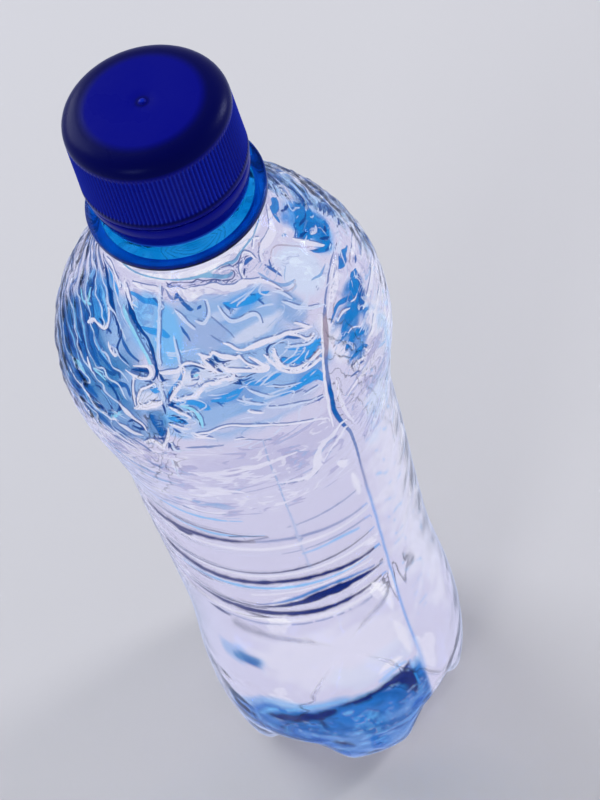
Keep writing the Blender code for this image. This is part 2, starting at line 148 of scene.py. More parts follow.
# --- Shader nodes ---
def feed(tree, node, feeds):
    """Gives each input its value or colour, or links it to the socket or the node that feeds it."""
    for socket, value in feeds.items():
        if isinstance(value, bpy.types.Node):
            value = value.outputs[0]
        if isinstance(value, bpy.types.NodeSocket):
            tree.links.new(value, node.inputs[socket])
        else:
            node.inputs[socket].default_value = value + (1,) if isinstance(value, tuple) else value


def add(tree, kind, feeds=None, **settings):
    """A new shader node with its settings and what feeds it."""
    node = tree.nodes.new("ShaderNode" + kind)
    for name, value in settings.items():
        setattr(node, name, value)
    feed(tree, node, feeds or {})
    return node


# --- Camera, lights and floor ---
def make_camera():
    data = bpy.data.cameras.new("camera")
    data.lens = 76.65
    data.sensor_width = 36
    data.clip_start = 0.01
    camera = bpy.data.objects.new("camera", data)
    bpy.context.scene.collection.objects.link(camera)
    right, up = Vector((0.9382, -0.3004, -0.1718)), Vector((0.3450, 0.7740, 0.5310))
    back = right.cross(up).normalized()
    up = back.cross(right.normalized())
    turn = Matrix((right.normalized(), up, back)).transposed().to_4x4()
    camera.matrix_world = Matrix.Translation((0, -0.20276, 0.42788)) @ turn
    bpy.context.scene.camera = camera
    bpy.context.scene.view_settings.view_transform = "Standard"


def make_light(name, place, target, size, watts, colour):
    data = bpy.data.lights.new(name, "AREA")
    data.shape = "RECTANGLE"
    data.size, data.size_y = size
    data.energy = watts
    data.color = colour
    lamp = bpy.data.objects.new(name, data)
    lamp.location = place
    lamp.rotation_euler = (Vector(target) - Vector(place)).to_track_quat("-Z", "Y").to_euler()
    bpy.context.scene.collection.objects.link(lamp)


def make_room():
    """A pale room with a dimmer ceiling, an even backdrop for what is seen, and three lamps."""
    world = bpy.data.worlds.new("room")
    world.use_nodes = True
    bpy.context.scene.world = world
    tree = world.node_tree
    tree.nodes.clear()
    rays = add(tree, "LightPath").outputs
    seen = add(tree, "Math", {0: rays["Is Camera Ray"], 1: rays["Is Transmission Ray"]},
               operation="MAXIMUM")
    split = add(tree, "SeparateXYZ", {0: add(tree, "TexCoord").outputs["Generated"]})
    fall = add(tree, "MapRange", {"Value": split.outputs["Z"], "From Min": 0.15, "From Max": 0.8,
                                  "To Min": 0.75, "To Max": 0.5})
    light = add(tree, "Background", {"Color": (0.90, 0.92, 1.0), "Strength": fall})
    backdrop = add(tree, "Background", {"Color": (0.86, 0.86, 0.89), "Strength": 1.0})
    add(tree, "OutputWorld", {"Surface": add(tree, "MixShader", {0: seen, 1: light, 2: backdrop})})
    make_light("window", (0.78, 0.15, 0.44), (0, 0, 0.14), (0.17, 0.34), 3.6, (1.0, 0.97, 0.97))
    make_light("top", (-0.55, 0.75, 0.75), (0, 0, 0.1), (0.7, 0.7), 8.0, (0.95, 0.96, 1.0))
    make_light("softbox", (-0.62, -0.72, 0.75), (0, 0, 0.16), (0.28, 0.28), 2.2, (1.0, 1.0, 1.0))


def make_floor():
    """A matt floor that is darker in mirror images, and bright through the clear wall."""
    bpy.ops.mesh.primitive_plane_add(size=6, location=(0, 0, 0))
    floor = bpy.context.object
    floor.name = "floor"
    material = bpy.data.materials.new("pale_floor")
    material.use_nodes = True
    tree = material.node_tree
    tree.nodes.clear()
    rays = add(tree, "LightPath").outputs
    share = add(tree, "Math", {0: rays["Is Transmission Ray"], 1: 0.9}, operation="MULTIPLY")
    paint = add(tree, "BsdfDiffuse", {"Color": (0.56, 0.56, 0.58)})
    dim = add(tree, "Emission", {"Color": (0.6, 0.66, 0.9)})
    glow = add(tree, "Emission", {"Color": (1.0, 0.985, 1.0), "Strength": 1.04})
    mirrored = add(tree, "MixShader", {0: rays["Is Glossy Ray"], 1: paint, 2: dim})
    through = add(tree, "MixShader", {0: share, 1: mirrored, 2: glow})
    add(tree, "OutputMaterial", {"Surface": through})
    floor.data.materials.append(material)


# --- The shell's profile ---
def base_rings():
    """Radii of the base's rings, each measured through a foot."""
    flat = [0, 4, 8.5, 11, 13, 15.5, 17.4, 19, 21, 23, 25, 26.5, 28, 29.2, 30.2, 31]
    fine = np.linspace(31, BASE_RADIUS, 600)
    return flat + [float(r) for r in np.interp(np.arange(5.2, 23.4, 1.15), along(FOOT, fine), fine)]


def inner_base_rings():
    """The base's rings from the wall inwards, half as close as outside."""
    rings = base_rings()
    return (rings[:16] + rings[17::2])[::-1]


def wall_levels():
    """Heights of the wall's rings: close where the wrinkles are."""
    spans = ((BASE_TOP, 50, 20), (50, 86, 18), (86, 132, 42), (132, 163, 32), (163, 178, 40),
             (178, 195, 54), (195, 197, 3))
    return [low + (high - low) * i / count for low, high, count in spans for i in range(count)]


def outer_profile():
    """(radius, height) from under the middle of the base to the rim of the mouth."""
    points = [(r, float(along(FOOT, r))) for r in base_rings()]
    points += [(float(along(WALL, z)), z) for z in wall_levels()]
    points += [(14.2, 197), (14, 198.6), (14, 199.9), (14.15, 200.2)]
    # The support flange.
    points += [(15.2, 200.2), (16.15, 200.22), (16.4, 200.32), (16.5, 200.6), (16.5, 201.6),
               (16.4, 201.88), (16.15, 201.98), (15.2, 202), (13.4, 202), (12.7, 202.1),
               (12.45, 202.4)]
    # The bead that holds the tamper band.
    points += [(12.4, 203.5), (12.4, 205.6), (12.6, 206.1), (13.3, 206.7), (13.5, 206.95),
               (13.5, 207.8), (13.35, 208.1), (12.7, 208.6), (12.4, 209)]
    points += [(NECK_RADIUS, 210.2 + 0.62 * i) for i in range(19)]
    return points + [(12.25, 222.35), (11.9, MOUTH)]


def inner_profile():
    """(radius, height) from the rim of the mouth down the bore to the middle of the base."""
    points = [(11.3, MOUTH), (10.95, 222.5), (BORE_RADIUS, 222), (BORE_RADIUS, 210)]
    points += [(BORE_RADIUS, 200), (BORE_RADIUS + 0.1, 198), (11.9, 195.5)]
    levels = [193, 190, 187, 184, 181, 178, 175, 171, 167, 162, 157, 151, 145, 139, 134.5]
    levels += [132 - 1.5 * i for i in range(31)] + [86 - 2 * i for i in range(31)] + [BASE_TOP]
    points += [(float(along(WALL, z) - along(WALL_DEPTHS, z)), z) for z in levels]
    return points + [(r, float(along(FOOT, r))) for r in inner_base_rings()]


def turned(name, profile, steps):
    """The profile drawn as a chain of points, then spun about the bottle's axis."""
    deselect()
    bpy.ops.mesh.primitive_plane_add(size=MM)
    item = bpy.context.object
    item.name = name
    item.data.name = name
    bpy.ops.object.mode_set(mode="EDIT")
    bpy.ops.mesh.merge(type="CENTER")
    at = Vector((profile[0][0], 0, profile[0][1])) * MM
    bpy.ops.transform.translate(value=at)
    for radius, height in profile[1:]:
        place = Vector((radius, 0, height)) * MM
        bpy.ops.mesh.extrude_region_move(TRANSFORM_OT_translate={"value": place - at})
        at = place
    bpy.ops.mesh.select_all(action="SELECT")
    bpy.ops.mesh.spin(steps=steps, angle=2 * math.pi, center=(0, 0, 0), axis=(0, 0, 1), dupli=False)
    bpy.ops.mesh.select_all(action="SELECT")
    bpy.ops.mesh.remove_doubles(threshold=0.01 * MM)
    bpy.ops.object.mode_set(mode="OBJECT")
    return item


def places_of(item):
    """Radius, azimuth and height of each vertex, in millimetres and degrees."""
    points = np.empty(len(item.data.vertices) * 3)
    item.data.vertices.foreach_get("co", points)
    x, y, z = points.reshape(-1, 3).T / MM
    return np.hypot(x, y), np.degrees(np.arctan2(y, x)), z


def rings_and_columns(item, profile, steps):
    """For each vertex of a turned surface, the number of its ring and of its column."""
    radius, turn, height = places_of(item)
    rounds, levels = np.array(profile).T
    ring = np.empty(len(radius), int)
    batch = 20000
    for start in range(0, len(radius), batch):
        part = slice(start, start + batch)
        away = np.abs(radius[part, None] - rounds) + np.abs(height[part, None] - levels)
        ring[part] = away.argmin(axis=1)
    return ring, np.rint(turn / 360 * steps).astype(int) % steps


def column_azimuths(steps):
    turn = turn_from(np.arange(steps) * 360 / steps, FRONT)
    return FRONT + np.sign(turn) * np.interp(np.abs(turn), EVEN_TURNS, TAKEN_TURNS)


def place_points(item, radius, azimuth, height):
    turn = np.radians(azimuth)
    points = np.stack([radius * np.cos(turn), radius * np.sin(turn), height], axis=1)
    item.data.vertices.foreach_set("co", (points * MM).astype(np.float32).ravel())
    item.data.update()


# --- Swirls in the wall ---
# The light layer's strokes are painted highlights along raised folds, and the dark layer's are
# painted shade along sunk folds and beside ridges; the wash layer lays blue under both.
# A group is (layer, ink, strength, lift, routes). A route is a row of azimuth, height and half
# width, point after point, in degrees, millimetres and hundredths of a millimetre.
STROKES = (
    # Left of the near parting line: blue plastic drawn into long folds, with painted highlights on
    # the ridges and painted shade beside them.
    ("wash", "azure", 0.9, 0, (
        (-144.9,191.7,20, -140.1,191.7,50, -133.6,191.3,60, -127.7,191.4,60, -124.4,191,30),
        (-169,192.2,20, -162.2,191.6,50, -155.9,191,50, -152.8,189.7,30),
        (-128,178.9,20, -126,178.3,50, -123.4,178.6,50),
        (-134,187.2,20, -129,187,60, -124,187.1,70, -119,186.6,40),
    )),
    ("wash", "royal", 0.93, -0.12, (
        (-182,182.8,50, -174,182.4,90, -168,183,90, -164.6,182.4,50),
        (-164.5,182.2,30, -160,181.6,70, -156,179.8,60, -152,178.6,30),
        (-157,181.4,20, -152,180.2,50, -147,179.4,50, -144,179,20),
        (-169,173.6,30, -164,173.8,80, -158,173.1,70, -151,172.6,40),
        (-162,169.6,30, -156,169.4,80, -150,168,80, -143,167.2,50, -138,166.9,20),
        (-182,177.6,40, -174,177,90, -168,176.6,60, -162,177.4,20),
        (-146,176,30, -142,177,60, -138,177.6,50, -136,176,30),
        (-127.4,173.4,60, -125.4,172.6,130, -124.4,171,100, -124.6,169.4,50),
        (-145,184.8,20, -141,183.8,35, -137,182.8,30, -133,182.2,20),
    )),
    ("dark", "navy", 1, -0.3, (
        (-178,193.3,15, -169.1,191.3,30, -163.3,190,40, -158.9,189.1,50, -154.5,187.8,60,
         -150.8,186.6,40, -148.9,185.7,20),
        (-180.8,190,40, -177.1,188.2,60, -174.6,186.8,60, -172.3,185.5,40, -170.5,184.5,15),
        (-147.7,192.2,10, -147.6,191,20, -145.7,190.2,30, -142.2,189.2,50, -137.7,187.6,42,
         -133.8,186.6,36, -129.9,185.6,36, -127,184.1,36, -125.2,182.4,30, -124.8,181,22,
         -126.4,179.8,20, -130,179.4,15),
        (-136.4,180.6,15, -133,180.9,45, -129.6,181.1,48, -128.2,180.9,25),
        (-145.1,185.7,20, -144.8,184.5,26, -145.3,183,26, -144,182.2,20, -140,181.6,20,
         -137.5,181.2,12),
        (-149.8,186.6,15, -147.5,185.7,42, -146.6,184.8,25),
        (-160,184.9,15, -157,184.9,40, -154,184.6,30, -150.6,184.3,25),
        (-151,177,12, -146,176.4,26, -143,175.4,34, -141,174.1,36, -140.3,172.9,36, -141.4,171.6,30,
         -143.6,170.5,20),
        (-152.6,174.2,15, -150,174.5,24, -147,173.5,22, -145,172.5,24, -143.8,171.6,30,
         -145,171.1,20),
        (-135.6,178.9,20, -135.1,177,26, -134.7,175.6,22, -133.4,174.5,12),
        (-132.7,176.2,10, -132,177.5,17, -129.6,178.3,17, -126.4,178.7,12),
        (-137.2,170.4,15, -134.6,171.4,34, -132.3,171,42, -130.7,170.2,36, -132.8,169.7,30,
         -135.6,169.9,18),
        (-175,184,10, -170,183.9,25, -167,183.7,35, -165.4,183.1,20),
        (-174,180.9,10, -168,180.4,30, -163,179.2,30, -159,178,15),
        (-180,179.8,10, -172,179,25, -166,178.4,30, -161,177.2,12),
        (-157,171.9,10, -153,171.5,30, -149,171,22, -146,170.5,10),
    )),
    ("dark", "navy", 0.75, -0.2, (
        (-152,178.6,15, -148,178.4,40, -144.6,178.6,50, -142.8,179.6,40, -141.4,178.4,25),
        (-159,177.4,12, -156,176.6,36, -153.4,176.6,36, -150.6,176.9,15),
        (-158,175.6,10, -154.6,175,26, -151.4,174.9,12),
    )),
    ("dark", "slate", 0.8, -0.15, (
        (-142,169,12, -139,168.4,30, -136,167.8,25, -133,167.6,10),
        (-138.4,166.5,12, -134,166,36, -130.6,164.9,26, -128.4,163.9,10),
        (-156,165.4,12, -149,165.1,30, -142,164.4,30, -135,163.6,12),
        (-127.4,164.2,12, -125.4,164.6,34, -124.2,165.2,15),
        (-150,161.4,12, -143,160.4,26, -137,159.2,12),
        (-133,160.6,10, -130,159.6,34, -127.4,158.8,12),
        (-130.6,157.8,10, -128.6,157,28, -126.6,156.6,10),
    )),
    ("light", "cyan", 0.9, 0.4, (
        (-147,189.4,12, -143.5,188.1,30, -139.8,187.1,24, -135.9,185.9,26, -132,184.6,30,
         -129,183.4,30, -127.2,182.4,25),
        (-175.6,186.8,12, -173.4,185.8,30, -172,185.1,32),
        (-183,184.8,15, -176,184.2,30, -171.4,184.9,22, -168.8,185.3,12),
        (-154,177.7,15, -150.8,177.3,34, -147.6,176.8,20),
        (-144,170.1,15, -141.8,170.9,32, -140.2,172,26),
        (-167,174.8,20, -163.6,175.4,48, -159.8,175.2,36),
    )),
    ("light", "sky", 0.8, 0.25, (
        (-175,182.2,12, -169,181.9,30, -165.4,181,30, -161.5,180,25, -157.6,178.7,12),
        (-158,182.2,12, -154.4,181.3,30, -150.4,180.5,30, -147.4,180,12),
        (-149.5,174.3,10, -146.4,173.7,25, -144.2,172.7,22),
        (-179.7,186.1,15, -180.4,187.2,25, -182.8,188.5,20),
        (-178,178.6,12, -170,177.8,26, -164,176.6,20, -160,175.9,10),
        (-169.7,189.1,12, -164.2,188.2,35, -159.6,187.4,35, -156.8,186.5,15),
        (-160,171.2,10, -157,170.3,22, -153,169.5,22, -149,169,10),
        (-184,182.2,10, -178,181,25, -171,179.9,20, -166,179.3,10),
    )),
    ("light", "pale", 0.95, 0.4, (
        (-139,180.3,12, -135,179.9,20, -131,179.8,28, -128,180.1,34, -126.9,181,36, -128.2,181.9,28,
         -131.5,181.7,20, -135.4,181.3,12),
        (-134.5,179.6,22, -134.7,178,27, -134.3,176.3,27, -133.5,174.9,15),
        (-132.1,174.8,15, -132.3,176.4,22, -131,177.9,24, -128.4,178.6,20, -125.6,179.4,15),
        (-156.6,187.3,12, -154.1,186.3,24, -153.4,185.4,28, -154.6,184.4,26, -158,184.1,22,
         -162,184.2,26, -164.4,183.6,40, -166,182.8,20),
        (-150,183.2,10, -147.6,182.1,24, -144.4,181.6,15),
        (-159.4,178.1,12, -156.2,177.3,28, -154.2,176.4,12),
        (-172,172.3,15, -163,171.9,27, -156,171.3,27, -151,170.4,27, -145,169.8,27,
         -141.6,170.1,20),
        (-140,174,20, -137,173,60, -133.6,172,40, -130.8,171.3,30, -129.8,170.1,20),
        (-134,174.2,15, -130,175,50, -126,175.9,60, -122.6,176.5,35),
        (-149,193.24,20, -147.8,192,50, -145.5,191.3,40, -142.3,190.4,25, -140.2,189.4,10),
        (-171,193.89,20, -165,193.81,40, -160,193.01,35, -156,192.5,45, -152.9,191.7,40),
        (-141,169.5,15, -138,169.2,36, -134.6,168.6,30, -131.6,168.6,15),
        (-131.4,166.9,20, -128.4,167.6,60, -126,167.4,60, -124.2,166.4,30),
        (-147,166.5,10, -142,165.6,28, -136.6,164.9,20, -132,163.4,10),
        (-166,167.4,12, -158,166.4,25, -150,164.3,25, -143,163.3,12),
    )),
    # Along the near parting line.
    ("light", "ice", 0.8, 0.25, (
        (-122.2,194.53,20, -123.2,192,30, -123.7,189.4,25, -124.1,186.1,30, -123.6,184,35,
         -123,182.6,35),
        (-123,179.6,15, -122.4,178,30, -121.7,177,35),
        (-116.1,186.7,10, -115.2,185,20, -114.4,183.6,25, -114.2,182.6,15),
        (-121.4,168.3,20, -120.6,166.4,30, -119,166.2,40, -118.4,166.6,15),
        (-123,163,15, -122.6,160,25, -123,157,12),
    )),
    ("light", "pale", 0.9, 0.35, (
        (-124.4,167,20, -122.8,168.4,28, -121.7,170,28, -121.4,171.5,12),
        (-123,181.2,20, -119,181.5,50, -115.6,181.7,45, -113.4,182.4,25),
    )),
    ("dark", "navy", 1, -0.25, (
        (-123.8,181.6,12, -122.9,180.6,34, -122.2,180,26, -120.4,180.2,12, -118.2,180.3,8),
        (-122.5,176.6,10, -122.2,175.4,24, -121.8,174.3,15),
        (-122.6,171.3,12, -122.4,170.2,26, -123,169.1,20, -124.6,168.7,26, -126,168.6,15),
        (-122.4,168.1,12, -121.8,167.3,34, -121.2,166.2,20),
        (-120.5,167,10, -119.5,167.3,13, -118.3,167.2,8),
        (-121.8,165,10, -120.8,164.6,15),
        (-127.6,169,10, -126.6,168.5,20, -128.6,167.9,25, -130.4,168,12),
    )),
    ("dark", "slate", 0.75, -0.12, (
        (-122.7,190.8,10, -122.9,188.2,14, -122.8,186.1,12, -122.8,184,12, -122.7,182.4,8),
        (-122.1,192.9,15, -121.6,191.7,24, -121.1,190.5,15),
        (-118.9,193.88,10, -116.7,192.6,26, -114.9,192,20),
    )),
    # Across the front: a zigzag ridge of painted highlight with painted shade beside it, and the
    # blue under it.
    ("wash", "azure", 0.9, 0, (
        (-112.4,182,10, -113.4,181.3,32, -115,180.2,46, -117.5,179,46, -119.6,177.9,40,
         -120.8,177.2,15),
        (-117,176.4,25, -113,176.8,50, -109.6,176.6,75, -107.2,175.9,90, -105.6,175.4,50),
        (-104,176.6,30, -100,176.7,80, -96,176.9,80, -92,177.4,40),
        (-121,173.6,20, -117.6,173.2,70, -114.6,172.6,40),
        (-90,177.9,20, -85,177.3,50, -80,177.2,50, -76.6,177,20),
    )),
    ("wash", "royal", 0.93, -0.15, (
        (-112,176.9,20, -109.6,176.8,42, -107.6,176.2,50, -106.6,175.4,20),
        (-109.8,180.1,15, -109.4,181.2,42, -108,181.8,42, -106.4,181.5,20),
        (-109.4,180.2,20, -107.8,180.2,22, -106.8,180.7,12),
        (-103.8,180.2,10, -102,180,18, -100.2,180,10),
        (-119.9,171.6,10, -118.8,170.9,28, -117.4,170.4,12),
        (-96,178.6,10, -93,178.9,30, -90,178.5,25, -87,178.6,10),
        (-103.2,176.7,8, -101.4,175.9,16, -100.2,175.2,10),
    )),
    ("dark", "navy", 1, -0.3, (
        (-113.8,180.8,8, -116.4,179.4,18, -118.6,178.2,24, -119.8,177.2,26, -118.8,176.6,24,
         -116.8,176.4,12),
        (-113.4,182.1,10, -111,182.4,20, -108,182.4,24, -105.6,182.1,24, -103.4,181.6,20,
         -101.4,181.1,18, -99.4,180.7,12),
        (-103.2,183.5,10, -101.7,183,28, -100.4,182.4,30, -99.4,181.6,30, -98,180.9,20,
         -96.2,180.3,8),
        (-99,183.4,10, -98.5,182.9,36, -97.9,182.4,30, -96,182.2,18, -93,182.1,14, -90,182.3,8),
        (-94,180.2,10, -92.9,179.6,28, -92.1,178.9,28, -91.4,178.1,15),
        (-101.4,178.6,8, -98,179.1,20, -95.4,178.9,20, -92.8,178.3,20, -91.2,178,12),
        (-120.6,176.1,15, -118.4,175.9,26, -115.6,175.4,15, -113.2,174.6,14, -112,173.8,8),
        (-119.9,174.1,12, -118,173.9,32, -116.6,173.3,32, -114.8,172.6,15),
        (-120.2,171.9,10, -121.2,172.2,12, -120.4,172.7,12, -118.6,172.7,10, -116.8,172.2,8),
        (-113.8,175.7,8, -111.6,174.9,15, -110.4,174,20, -110,173,20, -109.9,172.2,10),
        (-88.2,182,10, -87,181.4,20, -86,180.8,20, -84.4,180.1,10),
        (-92,179.3,10, -89.6,179,20, -87,179,15, -84.6,179,8),
        (-77.4,179.8,10, -77.4,180.9,20, -76.4,181.4,24, -74.6,181.6,20, -72.6,181.4,14,
         -70.8,181,12, -69,180.6,8),
        (-81.3,175.5,8, -80,175.2,12, -77,174.5,12, -73.8,173.8,8),
    )),
    ("dark", "slate", 0.75, -0.1, (
        (-113.2,179.4,8, -111,179.3,14, -108.8,179.5,14, -107.8,179.8,8),
        (-116.4,167.2,10, -112.6,167.4,28, -109,167.3,24, -103.6,167,8),
        (-112.8,170.1,8, -110.6,170.4,12, -108.2,170.4,16, -107.4,170.1,14),
        (-104.6,171.2,8, -99,171.1,10, -92,170.2,12, -86,168.7,14, -81.6,167.2,10),
        (-97.8,186.2,10, -95.4,185.4,18, -93.2,184.8,12),
        (-95.1,188.9,12, -93,187.9,15, -90.6,186.7,16, -88.6,185.7,14, -87.6,184.7,8),
        (-87.8,182.3,8, -85.4,182.2,14, -83,181.9,14, -81.2,181.5,8),
        (-84.8,181.7,6, -83,180.8,14, -81.6,180,8),
        (-76.8,178.6,6, -74.6,177.4,12, -71,176.3,12, -66,175.6,12, -60.6,175.4,12, -58,175.8,8),
        (-76.4,172.7,10, -74,172.4,20, -71.8,172.2,10),
        (-98,168,8, -95.6,167.5,14, -91.4,166.2,14, -88,165.4,8),
        (-74.6,169.5,8, -71,168.6,14, -66.6,168,12),
    )),
    ("light", "cyan", 0.95, 0.35, (
        (-115.6,176.2,10, -112.8,175.8,32, -110.8,175.1,44, -109.6,174,44, -109.1,172.9,34,
         -109,172,12),
        (-109,180.8,8, -107.8,181,24, -106.8,181,10),
    )),
    ("light", "pale", 0.98, 0.45, (
        (-119.4,176.9,15, -118.4,177.7,36, -117,178.5,32, -115,179.4,24, -113.4,180.4,22,
         -112.5,181.4,22, -112.2,182,12),
        (-113.8,182.3,15, -112,182.8,28, -109,182.9,26, -106,182.5,23, -103,181.9,23,
         -100.5,181.2,20, -98.6,180.8,10),
        (-105.2,184.1,15, -102.8,183.6,30, -100.6,183.4,20, -98.8,183.9,30, -96.4,183.2,40,
         -93,182.6,40, -90,182.2,30, -88.6,182.5,20),
        (-104.2,183.4,12, -102.2,182.3,30, -100.6,181.5,24, -99.6,181,10),
        (-117.2,177.1,15, -113,177.6,28, -109.5,177.9,40, -106.5,178.8,40, -103.5,179.5,40,
         -100.5,179.3,42, -97.5,179.6,34, -94.4,179.4,34, -92.8,179.9,12),
        (-97,181.8,12, -94.6,180.8,34, -92.6,180.5,36, -90,180.2,36, -86,179.6,34, -83,179,26,
         -80.8,178.7,24, -80,179,32, -81.6,179.8,30, -83.4,180.9,32, -85.2,181.7,15),
        (-119.9,175.8,10, -117,175.2,28, -114.6,174.6,24, -112.6,173.9,15),
        (-121.2,172.3,8, -119.6,172.3,22, -118,172.1,22, -116,171.8,18, -114.4,171.7,10),
        (-88.7,182.5,20, -87.8,181.5,20, -86.2,180.6,20, -83.6,179.8,18, -81,179,12),
        (-93.8,184.8,10, -91,184.3,24, -89,183.5,24, -87,183,20, -84,182.8,32, -79,182.7,46,
         -74,182.4,44, -70,182,38, -66,181.6,30, -63,181,22, -60,180.4,20, -57,179.8,15),
        (-79.2,181,12, -78.3,180,20, -77.3,178.8,24, -75.6,177.4,25, -73,176.3,25, -69,175.4,27,
         -64,174.9,27, -60,175,24, -57.4,175.7,15),
        (-74,181.1,12, -75.5,180,36, -75.3,178.3,36, -73,177.1,24, -69.4,176.2,22, -64,175.9,22,
         -59.4,176,20, -57.2,176.5,12),
        (-66.4,181.4,10, -64,180.6,20, -62.4,179.8,20, -61.4,179,20, -59.6,178.6,20,
         -57.2,178.7,12),
        (-61.4,182.2,15, -59.4,181.2,24, -57.6,180.2,20, -55.8,179.5,10),
        (-113.4,170.2,8, -110.5,170.8,18, -107,171,20, -103,171.6,21, -99,171.5,21, -94,170.7,21,
         -88,169.5,22, -82,167.7,22, -76,165.8,22, -72,164.4,20, -68,162.4,15, -66,161.4,10),
        (-100,168.1,10, -98,168.2,18, -96,167.8,10),
        (-92.6,173.5,10, -91,172.9,27, -89,172.4,24, -87.6,172,10),
        (-112.4,169.9,12, -109.6,169.9,30, -107,169.5,18, -105.6,169,8),
    )),
    ("light", "ice", 0.85, 0.25, (
        (-70.4,180.1,8, -67.4,179.5,20, -64.6,178.8,20, -62,178.2,20, -59.4,178,24, -56.6,178.1,12),
        (-83.8,176.4,8, -81,175.8,16, -78.6,175,14, -75.6,174.4,14, -71.8,173.7,10),
        (-90.4,177.2,10, -88,176,24, -85.6,175,28, -82.4,174.1,12),
        (-95,176,10, -91,174.8,24, -88,173.8,20, -85,173.2,8),
        (-86.4,172.8,10, -83,171.9,22, -79,171,24, -75,170.2,20, -71.6,169.3,16, -66.6,168.4,12),
        (-73,171.2,10, -69.6,171.1,22, -66,170.8,10),
        (-89.8,190.1,12, -88.6,188.4,26, -86.6,187.3,34, -83,186.9,38, -78.6,186.9,38,
         -75.1,186.7,38, -73,186.1,32, -73.6,185,20),
        (-103.8,188.7,15, -99.9,188.1,40, -96.5,188.9,30, -94.9,190,20, -94.7,191.2,20),
        (-114.4,190.5,15, -111.2,189.6,34, -107.8,188.4,30, -104.9,187.5,15),
        (-60.2,187.5,10, -57.7,186.8,26, -55.9,185.7,26, -54.6,184.6,12),
        (-59.5,185.5,15, -57.4,184.4,30, -55.4,183.2,36, -52,181.9,30, -48,180.8,25, -45,180,15),
    )),
    # Loops left of the crease.
    ("wash", "azure", 0.95, -0.1, (
        (-74,178.6,20, -72.6,178.3,50, -70.2,177.6,70, -67,177,74, -63,176.8,72, -59.6,176.9,60,
         -56.4,177.2,25),
        (-70.4,179.7,10, -67,178.9,26, -64.4,178.2,36, -61.6,177.6,36, -57.6,177.6,20),
        (-86.1,190,30, -82.1,189.2,70, -77.2,188.8,60, -71.2,188.5,60, -65.2,188.2,50,
         -61.2,187.8,20),
        (-80,173.4,20, -74,173.3,60, -69,173.4,90, -65,172.8,90, -63.6,171,50),
    )),
    ("wash", "royal", 0.93, -0.2, (
        (-74.6,178.7,15, -73.4,178.9,28, -72,178.6,20, -70.4,177.8,30, -68,177.1,20),
        (-70.4,181.1,10, -67.6,181.2,24, -66,180.9,36, -64.6,180.3,36, -63,179.8,24,
         -60.6,179.5,10),
        (-61.8,179.1,10, -60.4,178.9,20, -58.8,178.8,10),
        (-73.4,178,8, -70,177,12, -66,176.3,14, -61,176.2,14, -57.8,176.4,10),
        (-113.8,192.1,20, -112.1,192.6,46, -110.9,192.9,36, -109.7,191.8,38, -107.9,191.1,32,
         -105.8,190.7,30),
        (-107.2,190.6,20, -105.4,190.4,34, -103.7,190.3,15),
        (-101,190.3,20, -99.5,190.5,32, -98.8,190.7,12),
        (-85.9,189.7,12, -84.6,189.1,34, -83.8,188.6,26, -84.8,188.2,12),
        (-70.3,189.2,12, -68.4,188.5,36, -66.2,188.2,28, -64.4,188,10),
        (-68.4,188,20, -67.5,187.1,20, -67.1,186.5,8),
        (-112,188.1,10, -110.9,187.3,32, -109.5,186.7,24, -108.2,185.8,10),
        (-129.6,191.5,20, -127.2,191.7,46, -125.2,191.4,40, -124.5,190.8,12),
        (-63.4,193.29,20, -60.5,193.45,42, -57.8,193.33,36, -55.8,193.07,15),
        (-52.7,190.9,15, -51.2,189.6,30, -50.3,188.6,24, -50.1,187.8,8),
        (-50.6,189.7,15, -49.3,190.6,18, -48.1,190.9,8),
        (-50.5,192,10, -48.9,192.3,24, -47.3,192.2,10),
    )),
    # Under the neck: a white ring, a grey-blue band with a wavy edge, and scallops.
    ("light", "pale", 0.98, 0.15, (
        (-175,196.8,50, -137,196.8,52, -98.7,196.67,52, -63,196.84,50, -23,196.8,46, 20,194.4,46),
        (-81.2,194.82,8, -78.7,194.9,22, -75.9,194.76,26, -73.1,194.47,20, -71.6,193.96,10),
        (-62.1,194.64,10, -60.6,195.05,14, -58.4,194.84,18, -56.1,193.93,20, -55.6,192.8,15),
        (-52.4,194.28,15, -49.8,194.79,20, -47,195.17,18, -44,194.41,25),
        (-68.8,191.7,12, -68.2,192.9,22, -66.4,193.7,30, -64.3,193.57,15),
    )),
    ("wash", "turquoise", 0.95, 0, (
        (-128,195.74,20, -117,195.58,24, -106.2,195.47,28, -95.4,195.34,30, -90,195.03,40,
         -85.4,194.5,40, -81.2,193.92,36, -76.8,193.44,36, -73.5,193.52,30),
        (-97.2,195.43,25, -88.2,195.49,25, -79.3,195.6,20, -73.8,195.47,22, -70,195.03,40,
         -66.4,195.06,40, -63,195.42,26, -55,195.69,24, -43,195.92,24, -29,196.36,15),
        (-175,196.8,20, -162,196.52,30, -147,195.86,30, -135,195.71,25, -128,195.74,20),
    )),
    ("dark", "navy", 1, -0.15, (
        (-118,195.19,8, -116.1,194.54,20, -114.2,194.91,14, -110,195.03,12, -104.6,194.84,12,
         -99.7,194.67,14, -96.4,194.99,12, -94.2,194.58,14, -90.9,194.28,12, -86.3,193.99,12,
         -83.4,193.56,12, -81.1,193.16,12, -78.6,192.9,12, -75.7,192.7,12, -73.3,192.9,12,
         -72.1,193.32,12, -72.5,193.88,10, -74,194.09,6),
        (-82.2,195.12,6, -79.2,195.32,10, -75.6,195.3,10, -72.7,195.01,12, -71.6,194.48,12,
         -68.8,194.35,12, -65.7,194.45,12, -63.2,194.86,12, -60.6,195.37,10, -56,195.51,6),
        (-61.9,194.03,6, -60.2,194.27,12, -58.1,194.06,8),
        (-68.3,192,8, -66.3,192.5,22, -64.9,192.9,10),
    )),
    ("light", "pale", 0.8, 0.25, (
        (-118.6,194.33,12, -115.3,193.71,35, -110.4,194.04,40, -106.7,192.8,100, -102.4,192.8,100,
         -97.6,193,90, -92.8,193,85, -88.1,192.6,80, -83.3,191.9,70, -77.4,191.4,75, -71.5,191.1,75,
         -65.6,190.5,55, -61.5,189.7,40, -58.1,188.6,30, -56.2,187.3,22, -55.1,186.5,12),
